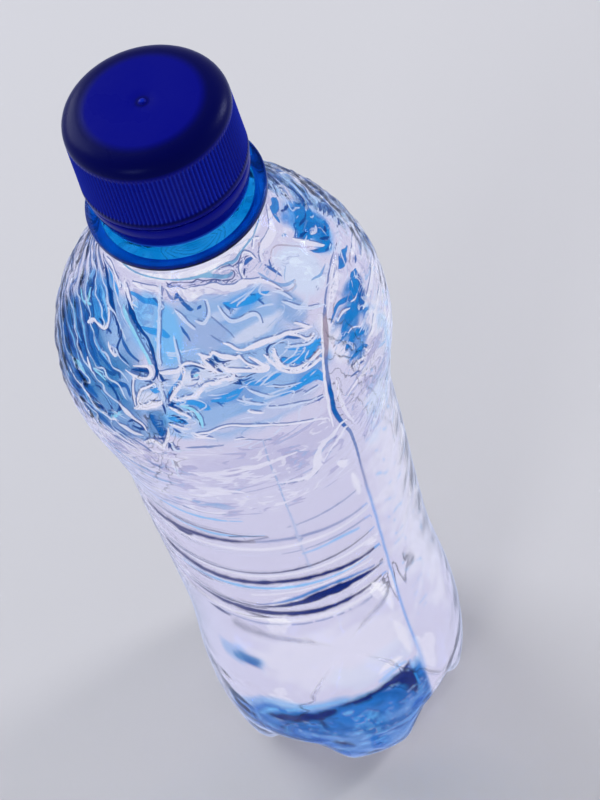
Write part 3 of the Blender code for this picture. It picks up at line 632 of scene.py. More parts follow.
        (-143,193.58,20, -136,193.48,50, -129.4,193.55,55, -124.6,193.64,50, -122.2,193.06,20),
        (-53.3,191.6,20, -47.4,193.01,60, -40.8,192.9,90, -32.8,192.5,90, -25,193.36,70,
         -17,194.47,40),
    )),
    # Right of the crease: rough blue patches and pale streaks.
    ("wash", "cobalt", 0.95, 0, (
        (-48,174.6,30, -43,174.8,100, -39,174.6,170, -36,174.2,170, -32.6,175.2,150, -29,175.9,160,
         -25,176.4,140, -22,176.2,50),
        (-49,177.4,12, -45,177.9,28, -41,178,40, -37.6,177.3,50, -34.8,176.6,30),
        (-26.6,179.9,40, -22.6,179.4,100, -19,179.4,80, -16,178.8,40, -13,178.3,15),
        (-50.6,171.6,20, -47,171.5,80, -43.6,171.4,100, -41,170.6,80, -39,169.4,40),
        (-51,169,15, -48,168.7,50, -45,168.2,70, -42.6,167.4,50, -41,166.6,20),
        (-25.5,187.8,40, -20.3,186.7,140, -15.4,187,220, -10.3,186.5,280, -4.3,186.1,240,
         1.8,185.5,100),
        (-27.1,185.1,20, -23,183.4,60, -18,182.9,100, -12,182.8,110, -6,182.4,90),
        (-21.6,191.6,30, -17,192.8,80, -11,192.6,110, -5,191.9,80),
        (-52,173.9,12, -48,173.7,35, -45,173.2,25),
    )),
    ("wash", "royal", 0.93, -0.2, (
        (-45,178.1,10, -41,178,25, -38,177.3,34, -36,176.7,36, -35,176.4,12),
        (-35.6,173.8,25, -34,172.9,55, -32.2,172.1,25),
        (-31.4,173.9,30, -28.4,173.9,55, -26,174.5,40, -24.4,175.1,45, -22.2,175.8,25),
        (-49.4,171.7,15, -47,171.5,42, -44,171.5,36, -41.4,171,30, -39.8,169.8,24, -38.6,169,10),
        (-50.6,169.1,10, -48,168.6,34, -45.4,168,32, -43.2,167.1,34, -41.6,166.5,12),
        (-27.5,185.5,10, -25,184.4,24, -22.6,183.2,36, -20.4,182.4,46, -16.6,181.8,25),
        (-44,174.6,20, -42,175.2,50, -40.4,174.4,30),
        (-25.3,188.5,12, -20.7,188.3,25, -17.5,188.7,25, -13.6,187.6,36, -9.3,186.6,25),
        (-54.4,166.3,10, -52,165.7,25, -49,164.7,12),
        (-50,166.7,8, -48,166,24, -46,165.3,10),
        (-18.8,176.4,15, -16.6,176.3,34, -14.8,176.2,12),
    )),
    ("dark", "navy", 1, -0.25, (
        (-23.8,187.5,12, -21.6,187.2,34, -19.3,186.8,30, -17.2,186.3,12),
        (-17.6,184,12, -15.8,182.9,40, -13.8,182.1,20),
        (-12.4,183.4,15, -10.4,182.6,36, -8,182.8,15),
        (-16.2,187.7,10, -12.8,187.2,30, -8.3,186.3,20, -4.2,185.9,10),
        (-26.4,181.3,10, -22,181.2,16, -18,180.9,22, -15,180.6,10),
        (-12.7,191.2,12, -8,190.1,34, -3.5,189.2,20),
        (-6,180,12, -2,179,30, 2,178.4,12),
    )),
    ("wash", "steel", 0.85, -0.15, (
        (-59.5,190.9,10, -57.5,189.4,24, -55.7,187.9,34, -52.7,186.8,38, -49.1,186.2,28,
         -46.3,186,10),
        (-41,183.8,8, -38.4,183.4,22, -35.6,182.8,24, -32,182.6,20, -29,182.5,8),
        (-30.1,190.7,12, -28.4,190.3,34, -27.1,190,12),
        (-57,184.9,10, -54.8,184.6,30, -53,184.2,12),
    )),
    ("dark", "umber", 0.5, 0, (
        (-60.1,190.3,6, -57.7,188.6,12, -55.9,186.9,14, -53.7,185.9,12, -49.1,185.5,12,
         -46.1,185.9,6),
        (-48.1,190.7,6, -43.6,191.3,12, -39.6,191.2,14, -35.9,190.4,16, -32.4,189,16,
         -29.4,187.6,14, -26.8,186.1,12, -24.1,185.1,6),
        (-48.4,193.28,12, -46.6,193.9,32, -44.6,193.33,15),
    )),
    ("light", "pale", 0.9, 0.08, (
        (-46.6,176.5,8, -43,176.6,20, -40.4,176.2,20, -38,175.4,8),
        (-27.2,188.8,12, -24.9,186.7,40, -22.9,185.1,46, -21,183.7,30, -19.8,183.1,10),
        (-46,179,12, -41,179.4,42, -36,179.6,60, -31,180,60, -27.6,180.6,20),
        (-33,172,12, -28,171.8,40, -22,171.6,50, -15,171.2,40, -8,170.4,20),
        (-40,167.4,15, -35,167.2,50, -30,168.2,60, -24,168.6,40, -18,168.2,15),
        (-53.4,167.9,8, -50,167.2,27, -47,166.4,27, -44.6,165.5,10),
        (-59,163.5,15, -54,163.7,42, -49,163.2,30, -44,161.8,12),
        (-46,173.2,6, -43,172.9,14, -40.6,171.9,12, -38.8,170.8,6),
        (-36,175.9,6, -33,175,15, -30.6,174.8,8),
        (-18.2,185.7,10, -14.6,184.8,30, -11,184.6,15),
        (-20,177.6,15, -15,177.2,40, -9,176.4,40, -3,175.4,15),
        (-14,174.6,15, -8,173.6,40, -1,172.6,15),
    )),
    # Lines that run round with the grip grooves, drawn down towards the crease: dark ones as the
    # grooves' painted shadows, pale ones as their painted highlights.
    ("dark", "midnight", 1, -0.06, (
        (-158,129.4,20, -150,129,50, -125,128.5,50, -112,126.6,40, -103,125.6,15),
        (-160,124.8,30, -150,124.5,70, -135,124.7,70, -120,124.5,60, -108,124,20),
        (-158,113,20, -150,112.5,45, -130,111.6,45, -110,110.8,50, -85,110,50, -58,108.8,30),
        (-160,108.6,30, -150,108.3,70, -130,107,75, -105,106.2,75, -90,105,75, -75,103,70,
         -58,101,50),
        (-150,97.6,20, -135,95.6,50, -120,94.4,50, -104,94.3,20),
        (-162,94.6,40, -150,93.5,85, -130,92,90, -110,90.5,90, -90,89,85, -74,88.4,50, -60,88,30),
        (-121,94.3,20, -105,95.2,90, -88,96,160, -75,95.2,110, -66,94,50, -60.5,93.1,15),
        (-145,124.4,30, -141,123.6,100, -136.6,123,40),
        (-145,103.4,30, -141,102.6,110, -137,102,40),
        (-145,87.4,30, -140,86.6,100, -135,86,30),
    )),
    ("dark", "slate", 0.75, -0.04, (
        (-112,124.2,15, -100,123.5,35, -85,122,35, -70,120.3,30, -58,119.2,20),
        (-94,128.1,15, -75,127.5,35, -58,126.5,20),
        (-100,117.6,12, -80,116.4,30, -59,114,20),
        (-140,87.4,15, -120,86,35, -95,85,35, -70,84,15),
        (-150,139.6,15, -130,138.4,32, -112,137.4,15),
        (-90,147.7,10, -80,144.9,26, -76.6,146,20),
    )),
    ("dark", "steel", 0.5, 0, (
        (-91.2,166,10, -91.6,158,16, -91.3,150,17, -91.5,140,18, -91.3,130,18, -91.5,120,16,
         -91.3,108,8),
    )),
    ("dark", "steel", 0.8, -0.06, (
        (-136,144.2,15, -126,143.4,40, -118,142.9,40, -112,142.4,15),
        (-150,156,15, -140,153.4,32, -130,152.4,32, -122,152,12),
        (-156,161.6,15, -146,158,34, -136,156,32, -127,155.4,12),
    )),
    ("wash", "sky", 0.8, 0, (
        (-92,115.4,20, -76,114.8,50, -66,113.2,20),
        (-144,127.4,20, -125,126.6,70, -104,126.2,20),
        (-150,105.8,30, -125,104.6,70, -95,103,60, -66,100.4,20),
        (-150,136.4,20, -130,134.8,60, -110,134,20),
    )),
    ("wash", "cobalt", 0.9, 0, (
        (-119,95.8,15, -103,97.3,50, -88,98.4,70, -75,97,50, -65,95,20),
    )),
    # Painted highlights: along the grooves, the window's reflections at 145 to 158 mm, and pale
    # patches of reflection beside the crease.
    ("light", "pale", 0.9, 0.05, (
        (-150,122.6,20, -120,122,50, -90,120.2,50, -60,117.6,30),
        (-150,110.4,20, -120,109,50, -95,108,50, -70,106.4,45, -58,105,20),
        (-150,90.6,30, -130,89,75, -110,87.6,80, -90,86.6,80, -62,85.6,40),
        (-125,147,15, -119,147.3,50, -115,149.4,55, -108,149.9,50, -102.6,147.8,15),
        (-92,149.2,12, -86,147.4,40, -80.6,146,70, -77.2,147.2,95, -76,150,90, -75.2,153.4,80,
         -72.4,155.8,70, -67,156.8,60, -60.5,157.6,20),
        (-74.8,147,10, -71,151,30, -66,153.4,60, -61,154.6,20),
        (-68,144,20, -66,141.6,100, -64.4,139,30),
        (-119,159.2,12, -106,158.4,34, -92,159.4,34, -79,158.2,12),
        (-120,99.6,15, -100,100.2,50, -80,99.8,50, -64,97.4,20),
        (-68,88,30, -64.4,84.4,110, -62.8,79,120, -62.6,72,40),
        (-64,66,40, -62.2,59,140, -61.8,52,100, -61.6,48,30),
        (-66,105.6,30, -62.6,104.4,80, -60.4,103.6,30),
        (-62.4,134,30, -61.4,129.6,90, -60.8,124,40),
    )),
    # The thick base.
    ("dark", "royal", 1, -0.25, (
        (-104,40,30, -100,41,100, -95,41.2,100, -90,41.6,120, -85,41.6,140, -80,40.4,140,
         -77,38.9,150, -74,36.4,130, -70,33.8,110, -66,31.4,40),
        (-88,34,30, -86,32.4,140, -87.4,29.6,130, -90,27.8,30),
        (-106,30,30, -101,29.4,110, -97,29.8,30),
        (-64.6,45.6,30, -65.2,41,110, -66.6,37,130, -66.2,32.6,90, -68,29,30),
        (-125,30.6,30, -118,31.4,100, -111,30.4,110, -104,30.6,30),
    )),
    ("dark", "midnight", 1, -0.25, (
        (-134,34.3,60, -129,35,170, -124,35.5,220, -120,36,250, -115,38,200, -110,38.2,200,
         -105,39.6,180, -101,40.6,60),
        (-103,41.4,50, -96,41.8,150, -89,41.8,160, -82,42.2,170, -76,43,200, -70.5,42.4,260,
         -67.4,39,260, -66,34.6,180, -66.6,30,40),
        (-64,45.6,40, -66,44.4,140, -69,43.4,100),
        (-108,23,40, -104,20.6,140, -101,18.6,80),
        (-110.4,37,90, -109.6,34,100, -108.6,30.6,40),
    )),
    ("dark", "royal", 1, -0.15, (
        (-106,36,30, -103,33,60, -100.4,29.6,50, -98,28.5,25),
        (-89,37,30, -86.4,34.6,60, -84,32,50, -85.6,29.4,40, -88.4,28.3,20),
        (-106,19.4,30, -103,18.8,130, -100,18,50),
        (-126,32,30, -121,30.4,80, -117,30.6,60, -114,31.6,30),
        (-84,21,30, -78.6,19.8,120, -74.6,19,40),
        (-96,24.6,20, -90,23.6,60, -84,24.4,50, -79,26,20),
    )),
    # Painted highlights: glints and streaks of light in the blue, a cyan glint along its top, and a
    # whitish highlight above it.
    ("light", "sky", 0.8, 0.2, (
        (-138.6,32.6,20, -135,35.6,45, -131.6,38.2,40, -128,39.4,20),
        (-99.6,37.6,20, -97.5,37.9,60, -95.4,37.6,20),
        (-80,46.6,20, -75,47.4,55, -69,47.4,55, -65,46.4,20),
        (-124,39.8,15, -116,42.2,40, -106,43.8,35, -96,44.6,20),
    )),
    ("light", "pale", 1, 0.15, (
        (-79,50,30, -75,50.8,130, -71,50.8,140, -67,50,50),
    )),
)

# The crease's middle: (height, azimuth), the fold along it, and the dented panel to its right.
CREASE = ((40, -58.6), (60, -57), (130, -56.5), (140, -57.5), (150, -60), (156, -63.5),
          (160, -65.2), (163, -65.3), (167, -64.5), (171, -62.5), (174, -60), (176.6, -56),
          (178, -52))
CREASE_DEPTH, PANEL_DENT, PANEL_MIDDLE, PANEL_HALF_WIDTH = 0.3, 0.6, 12, 8
GROOVES, GROOVE_LOWEST, GROOVE_PITCH, GROOVE_DEPTH = 5, 93, 8.5, 0.6
GROOVE_HALF_WIDTH, GROOVE_SAG, SAG_AZIMUTH = 1.9, 3.6, -58

# The crease's line, painted shade along the fold, a route as above, and the inks along it: (ink,
# strength, low, high, fade).
CREASE_LINE = (
    -58.2, 36, 15, -57.2, 50, 32, -57, 70, 36, -56.8, 100, 36, -56.5, 120, 34, -56.6, 132, 30,
    -57.5, 140, 34, -60, 150, 38, -62, 154, 36, -63.8, 158, 46, -64.9, 162, 52, -64.4, 165, 54,
    -63.6, 168, 50, -62.2, 170.6, 55, -60.4, 172.8, 50, -58, 174.6, 60, -55, 176.3, 68,
    -52, 177.7, 66, -49.4, 178.8, 50, -44, 180.2, 26, -40, 180.8, 22, -35, 181.3, 22,
    -30, 181.6, 22, -25, 181.5, 20, -20, 181.2, 8)
CREASE_INKS = (("azure", 0.75, 30, 118, 10), ("slate", 0.9, 132, 148, 6),
               ("royal", 1, 155, 168.5, 3), ("slate", 0.85, 170.5, 172.5, 1.5),
               ("umber", 0.8, 174.5, 178.6, 1), ("slate", 0.8, 180, 183, 0.8))
CREASE_REACH = 3.14
# The bright edges beside it, painted highlights: (strength, route).
CREASE_EDGES = (
    (0.95, (-67.4, 159, 12, -66.9, 163, 30, -66.1, 166, 34, -64.9, 169, 32, -63.3, 171, 30,
            -61, 173.4, 30, -58.4, 175.5, 26, -54, 177.9, 20, -50, 179.4, 10)),
    (0.9, (-48, 178.7, 10, -43, 179.6, 20, -36, 180.6, 22, -28, 180.9, 20, -21, 180.5, 10)),
    (0.8, (-58.6, 154, 10, -60.6, 158, 30, -61.6, 162, 40, -61.4, 166, 34, -60, 169, 20)),
)

# Soft tints: (tint, strength, azimuth, height, half width in degrees, half height, raggedness). The
# mauve ones are painted soft shade.
PATCHES = (
    ("pale", 0.6, -22, 110, 32, 66, 0.4),
    ("pale", 0.55, -96, 66, 40, 15, 0.4),
    ("ice", 0.35, -80, 53, 24, 6, 0.5),
    ("mauve", 0.35, -88, 158, 30, 8, 0.6),
    ("mist", 0.6, -139, 62, 12, 5, 0.5),
    ("ocean", 0.9, -136, 61.8, 7.4, 3.4, 0.5),
    ("royal", 0.7, -134.4, 61.6, 4, 2.2, 0.4),
    ("ocean", 0.95, -162, 177.5, 30, 12.5, 0.3),
    ("azure", 0.6, -162, 187, 20, 3.4, 0.5),
    ("haze", 0.95, -141, 186, 12, 6, 0.2),
    ("sky", 0.85, -130, 188.4, 12, 4.6, 0.25),
    ("ocean", 0.75, -140, 176, 12, 8.5, 0.3),
    ("ocean", 0.7, -143, 168.4, 14, 2.6, 0.7),
    ("haze", 0.8, -131, 178, 6, 4.5, 0.3),
    ("haze", 0.6, -136, 170, 8, 3, 0.4),
    ("haze", 1.0, -95, 186, 40, 6.5, 0.12),
    ("haze", 0.95, -92, 176.5, 36, 8.5, 0.2),
    ("sky", 0.9, -119.5, 186.8, 8, 4.6, 0.2),
    ("sky", 0.8, -116.5, 172.8, 7, 3.0, 0.3),
    ("azure", 0.55, -80, 188.6, 16, 1.6, 0.4),
    ("haze", 0.95, -86, 174.4, 28, 4.0, 0.3),
    ("mist", 0.5, -80, 174.0, 20, 1.6, 0.9),
    ("mid", 0.35, -97, 176.6, 16, 1.5, 0.6),
    ("mid", 0.35, -68, 174.4, 8, 2.6, 0.6),
    ("ocean", 0.8, -125.5, 172, 4.0, 3.2, 0.4),
    ("steel", 0.7, -57.5, 184, 7, 3.4, 0.2),
    ("pale", 0.6, -98, 181, 14, 1.6, 0.8),
    ("pale", 0.6, -112, 180.6, 6, 1.6, 0.6),
    ("mauve", 0.25, -100, 186.5, 9, 2.4, 0.8),
    ("clear", 0.6, -85, 171.5, 30, 1.6, 0.8),
    ("pale", 0.6, -75, 184.4, 14, 1.2, 0.7),
    ("pale", 0.5, -88, 188.6, 10, 1.0, 0.6),
    ("haze", 0.7, -150, 188.4, 9, 2.2, 0.5),
    ("haze", 0.6, -149, 183.6, 9, 1.6, 0.6),
    ("steel", 0.6, -145, 173, 7, 2.4, 0.5),
    ("pale", 0.7, -128, 176.4, 5, 1.6, 0.5),
    ("haze", 0.8, -136, 178, 5, 2.5, 0.4),
    ("pale", 0.7, -51, 174, 5, 5.0, 0.4),
    ("ice", 0.95, -40, 186, 13, 4.4, 0.1),
    ("cobalt", 0.9, -37, 174.6, 13, 3.4, 0.6),
    ("royal", 0.8, -31, 174.2, 10, 1.6, 0.9),
    ("cobalt", 0.75, -44.6, 169.2, 7, 3.2, 0.9),
    ("azure", 0.85, -12, 186.4, 13, 5.2, 0.45),
    ("cobalt", 0.8, -13, 185.6, 10, 3.2, 0.9),
    ("ice", 0.8, -42, 147, 9, 13, 0.6),
    ("sky", 0.35, -28, 152, 3.5, 16, 0.6),
)

# Inks and tints of the wall: what light keeps as it passes through. Pale, whiter than clear, also
# serves for painted highlights, and mauve for painted soft shade.
TINTS = {
    "clear": (0.83, 0.82, 0.91), "pale": (1, 1, 1), "ice": (0.82, 0.92, 1),
    "haze": (0.42, 0.64, 0.88), "mist": (0.28, 0.55, 0.86), "sky": (0.26, 0.67, 1),
    "cyan": (0.4, 0.88, 1), "mauve": (0.56, 0.55, 0.74), "turquoise": (0.26, 0.55, 0.75),
    "mid": (0.02, 0.24, 0.66),
    "azure": (0.03, 0.42, 0.88), "cobalt": (0.003, 0.28, 0.68), "steel": (0.26, 0.5, 0.78),
    "slate": (0.12, 0.24, 0.52), "ocean": (0.06, 0.3, 0.6), "royal": (0.002, 0.16, 0.5),
    "navy": (0.002, 0.095, 0.36), "midnight": (0.0005, 0.02, 0.19), "umber": (0.4, 0.31, 0.36),
}
LAYERS = ("wash", "dark", "light")
INSIDE_TINT = (0.96, 0.96, 0.99)
# An offset at which no ink shows, and the half width of the painted shade line beside a fold's
# painted highlight.
FAR, FOLD_SHADE_WIDTH = 5, 0.14


def curved(route, share=5):
    """The route with more points, on a smooth curve through it, and its widths in millimetres."""
    points = np.reshape(route, (-1, 3)) / (1, 1, 100)
    ends = np.vstack([2 * points[0] - points[1], points, 2 * points[-1] - points[-2]])
    more = []
    for a, b, c, d in zip(ends, ends[1:], ends[2:], ends[3:]):
        for t in np.arange(share) / share:
            more.append(0.5 * (2 * b + (c - a) * t + (2 * a - 5 * b + 4 * c - d) * t * t
                               + (3 * b - a - 3 * c + d) * t ** 3))
    return np.array(more + [points[-1]])


class Shell:
    """The bottle's outside as a grid of places, ring by column: relief, soft tint, three inks: a
    blue wash, painted shade and painted highlights.

    An ink has crisp edges between the grid's points: a point keeps its signed distance from the
    middle of the nearest stroke and that stroke's half width, and the material compares the two."""

    def __init__(self, profile, columns):
        self.round, self.level = np.array(profile).T
        self.columns = columns
        run = np.hypot(np.diff(self.round), np.diff(self.level))
        arc = np.concatenate([[0], np.cumsum(run)])
        self.slope, self.rise = np.gradient(self.round, arc), np.gradient(self.level, arc)
        self.stretch = 1 / np.maximum(np.abs(self.rise), 0.3)
        self.per_degree = DEGREE * self.round[:, None]
        size = (len(self.round), len(columns))
        self.azimuth = np.tile(columns, (size[0], 1))
        self.height = np.repeat(self.level[:, None], size[1], axis=1)
        self.skin = np.nonzero((self.round > 30.5) & (self.level < 30)
                               | (self.level >= BASE_TOP) & (self.level < SKIN_TOP))[0]
        turn, across = np.radians(self.azimuth), self.round[:, None]
        self.place = (across * np.cos(turn), across * np.sin(turn), self.height)
        self.column_gap = np.abs(turn_from(np.roll(columns, -1), np.roll(columns, 1))) / 2
        self.row_gap = np.gradient(arc)[:, None]
        self.relief, self.raised, self.sunk = np.zeros(size), np.zeros(size), np.zeros(size)
        self.tint = np.zeros(size + (3,)) + TINTS["clear"]
        self.ink = {layer: np.zeros(size + (3,)) + 0.5 for layer in LAYERS}
        self.strength = {layer: np.zeros(size) for layer in LAYERS}
        self.offset = {layer: np.zeros(size) + FAR for layer in LAYERS}
        self.width = {layer: np.zeros(size) - FAR for layer in LAYERS}
        beyond = turn_from(self.azimuth, along(CREASE, self.height)) * self.per_degree
        creased = (self.height > 38) & (self.height < 181)
        self.off_crease = np.where(creased, smooth((np.abs(beyond) - 1.2) / 2), 1)
        self.swirl, self.fine = self.drawn(9, 5.6, 3, 1.3), self.drawn(5, 3.1, 11, 1.6)
        self.wobble, self.swell = self.drawn(1.7, 1.7, 7, 0.5), self.drawn(2.6, 2, 23, 0.5)
        # How soft an ink's edge is, in millimetres: crisp in the wrinkles, soft on smooth wall.
        self.blur = (0.09 + 0.42 * smooth((140 - self.height) / 12)
                     + 0.7 * smooth((54 - self.height) / 8))
        # How much of a stroke's lift stands out: most in the shoulder's wrinkles.
        wrinkled = window(self.height, 171, 193, 4) * window(self.azimuth, -152, -52, 8)
        self.lively = 0.35 + 0.65 * wrinkled

    def drawn(self, across, up, start, warp):
        x, y, z = self.place
        return folded(x / across, y / across, z / up + start, warp)

    def soften(self, tint, weight):
        self.tint += (np.array(TINTS[tint]) - self.tint) * np.clip(weight, 0, 1)[..., None]

    def lay(self, layer, rows, columns, ink, strength, offset, width, gap, over=0.0):
        """Keeps a stroke's ink where it covers more than what is there, or within `over` of it."""
        here = np.ix_(rows, columns)
        blur = self.blur[here]
        beyond = np.abs(offset) - np.maximum(gap, width + blur + 0.5 * gap)
        width = np.where(width < 0, 3 * width - blur, width) - 3 * np.maximum(beyond, 0)
        cover = width - np.abs(offset)
        more = cover > self.width[layer][here] - np.abs(self.offset[layer][here])
        if over:
            more |= cover > -over
        for store, value in ((self.offset, offset), (self.width, width), (self.strength, strength)):
            store[layer][here] = np.where(more, value, store[layer][here])
        self.ink[layer][here] = np.where(more[..., None], TINTS[ink], self.ink[layer][here])

    def stroke(self, layer, ink, strength, lift, route, over=0.0):
        path = curved(route)
        turns, levels = path[:, 0], path[:, 1]
        reach = 1.6 * path[:, 2].max() + 2.6
        level = self.level[self.skin]
        rows = self.skin[(level >= levels.min() - reach) & (level <= levels.max() + reach)]
        middle = (turns.min() + turns.max()) / 2
        span = (turns.max() - turns.min()) / 2 + math.degrees(reach / self.round[rows].min())
        columns = np.nonzero(np.abs(turn_from(self.columns, middle)) <= span)[0]
        across, stretch = self.per_degree[rows], self.stretch[rows][:, None]
        x = turn_from(self.columns[columns], middle)[None, :] * across
        level = self.level[rows][:, None]
        best = np.full(x.shape, 1e9)
        side, width, lean, past = (np.zeros(x.shape) for _ in range(4))
        for (a0, z0, w0), (a1, z1, w1) in zip(path, path[1:]):
            dx, dy = (a1 - a0) * across, (z1 - z0) * stretch
            px, py = x - (a0 - middle) * across, (level - z0) * stretch
            long = np.hypot(dx, dy) + 1e-9
            t = (px * dx + py * dy) / long ** 2
            held = np.clip(t, 0, 1)
            away = np.hypot(px - held * dx, py - held * dy)
            closer = away < best
            best = np.where(closer, away, best)
            side = np.where(closer, np.where(dx * py < dy * px, -1, 1), side)
            width = np.where(closer, w0 + held * (w1 - w0), width)
            lean = np.where(closer, np.abs(dy) / long, lean)
            past = np.where(closer, np.abs(t - held) * long, past)
        here = np.ix_(rows, columns)
        wavy = 0 if over else np.clip(width, 0.1, 1)
        width = width * (1 + 0.4 * self.swell[here] * (not over))
        offset = side * best + 0.3 * wavy * self.wobble[here]
        gap = self.column_gap[columns] * across * lean + self.row_gap[rows] * np.sqrt(1 - lean ** 2)
        width = width - 0.6 * past
        self.lay(layer, rows, columns, ink, strength, offset, width, gap, over)
        if layer == "light" and not over:
            # A fold's ridge, a painted highlight, gets a thin line of painted shade along one side.
            edge = np.where((width > 0.13) & (self.height[here] > 165), FOLD_SHADE_WIDTH, -1)
            self.lay("dark", rows, columns, "slate", 0.85, offset - width - FOLD_SHADE_WIDTH, edge, gap)
        body = lift * self.lively[here] * np.clip(width / 0.2, 0, 1)
        body *= bell(offset, 0.42 + 0.7 * width)
        self.raised[here] = np.maximum(self.raised[here], body)
        self.sunk[here] = np.minimum(self.sunk[here], body)

    def marble(self, layer, ink, strength, lift, field, step, shift, width, share):
        """Lines along the equal values of a field, where `share` is."""
        phase = field / step + shift
        east = np.roll(phase, -1, 1) - np.roll(phase, 1, 1)
        east /= 2 * self.column_gap * self.per_degree + 1e-9
        north = np.gradient(phase, axis=0) / self.row_gap
        steep = np.hypot(east, north) + 1e-3
        offset = np.clip(np.arcsin(np.sin(np.pi * phase)) / np.pi / steep, -FAR, FAR)
        lean = np.abs(east) / steep
        gap = self.column_gap * self.per_degree * lean + self.row_gap * np.sqrt(1 - lean ** 2)
        share = share * self.off_crease
        wide = width * (1.4 * share - 0.4) * (1 + 0.6 * self.swell)
        rows, columns = self.skin, np.arange(len(self.columns))
        self.lay(layer, rows, columns, ink, strength, offset[rows], wide[rows], gap[rows])
        self.relief += lift * bell(offset, 0.5) * np.clip(share, 0, 1)

    def patch(self, tint, strength, azimuth, height, half_turn, half_height, ragged):
        dx = turn_from(self.azimuth, azimuth) / half_turn
        dy = (self.height - height) / half_height
        away = np.hypot(dx, dy) + ragged * (self.swirl + 0.5 * self.fine)
        on_wall = (self.height > 3) & (self.height < 197)
        self.soften(tint, strength * smooth((1.15 - away) / 0.45) * on_wall)

    def colours(self, layer):
        """Ink over the soft tint, squared as each surface of the wall shows its square root."""
        share = self.strength[layer]
        if layer == "dark":
            # The grooves' dark lines, their painted shadows, fade towards the left.
            share = share * (1 - 0.12 * smooth((-80 - self.azimuth) / 55)
                             * smooth((142 - self.height) / 8) * smooth((self.height - 60) / 10))
        return (self.tint + (self.ink[layer] - self.tint) * share[..., None]) ** 2


def sag(azimuth):
    """How far the grip grooves are pulled down towards the crease."""
    away = turn_from(azimuth, SAG_AZIMUTH)
    return -GROOVE_SAG * np.where(away < 0, smooth(1 + away / 95), smooth(1 - away / 45))


def groove_relief(azimuth, height):
    """The grip grooves, drawn flat beyond the crease."""
    beyond = turn_from(azimuth, along(CREASE, height)) * DEGREE * WAIST_RADIUS
    share = 1 - 0.75 * smooth((beyond + 4) / 4) * smooth((45 - beyond) / 20)
    up = height - sag(azimuth) - GROOVE_LOWEST
    width = GROOVE_HALF_WIDTH + 0.9 * smooth(1 - np.abs(turn_from(azimuth, -62)) / 60)
    return -GROOVE_DEPTH * share * sum(bell(up - GROOVE_PITCH * i, width) for i in range(GROOVES))


def crease_relief(azimuth, height, radius, half_width):
    """The long crease, and the dented panel on its right."""
    beyond = turn_from(azimuth, along(CREASE, height)) * DEGREE * radius
    share = smooth((height - 40) / 10) * smooth((178 - height) / 6)
    panel = PANEL_DENT * bell(beyond - PANEL_MIDDLE, PANEL_HALF_WIDTH)
    fold = bell(beyond, half_width) - 0.15 * bell(beyond - 2.2 * half_width, half_width)
    return -share * (panel + CREASE_DEPTH * fold)


def thread_height(azimuth, height):
    """Height of the neck's screw thread above its wall."""
    best = 0 * (azimuth + height)
    for whole in range(3):
        turns = (azimuth - 20) % 360 / 360 + whole
        ends = smooth(turns / THREAD_RUN_OUT) * smooth((THREAD_TURNS - turns) / THREAD_RUN_OUT)
        off_middle = np.abs(height - THREAD_START - THREAD_PITCH * turns)
        section = smooth((THREAD_HALF_WIDTH - off_middle) / THREAD_FLANK)
        best = np.maximum(best, THREAD_HEIGHT * ends * section)
    return best


def base_place(azimuth, radius):
    """Radius and height of the base at a ring, which is named by its radius through a foot."""
    height, inward = along(FOOT, radius), along(VALLEY, radius)
    bowl = np.sqrt(np.clip(1 - (inward / BASE_RADIUS) ** 2, 0, 1))
    rise = BASE_TOP - BOWL_DEPTH * bowl
    share = smooth((np.cos(FEET * np.radians(azimuth - FRONT)) + 1) / 1.5)
    return inward + share * (radius - inward), np.maximum(rise + share * (height - rise), 0)


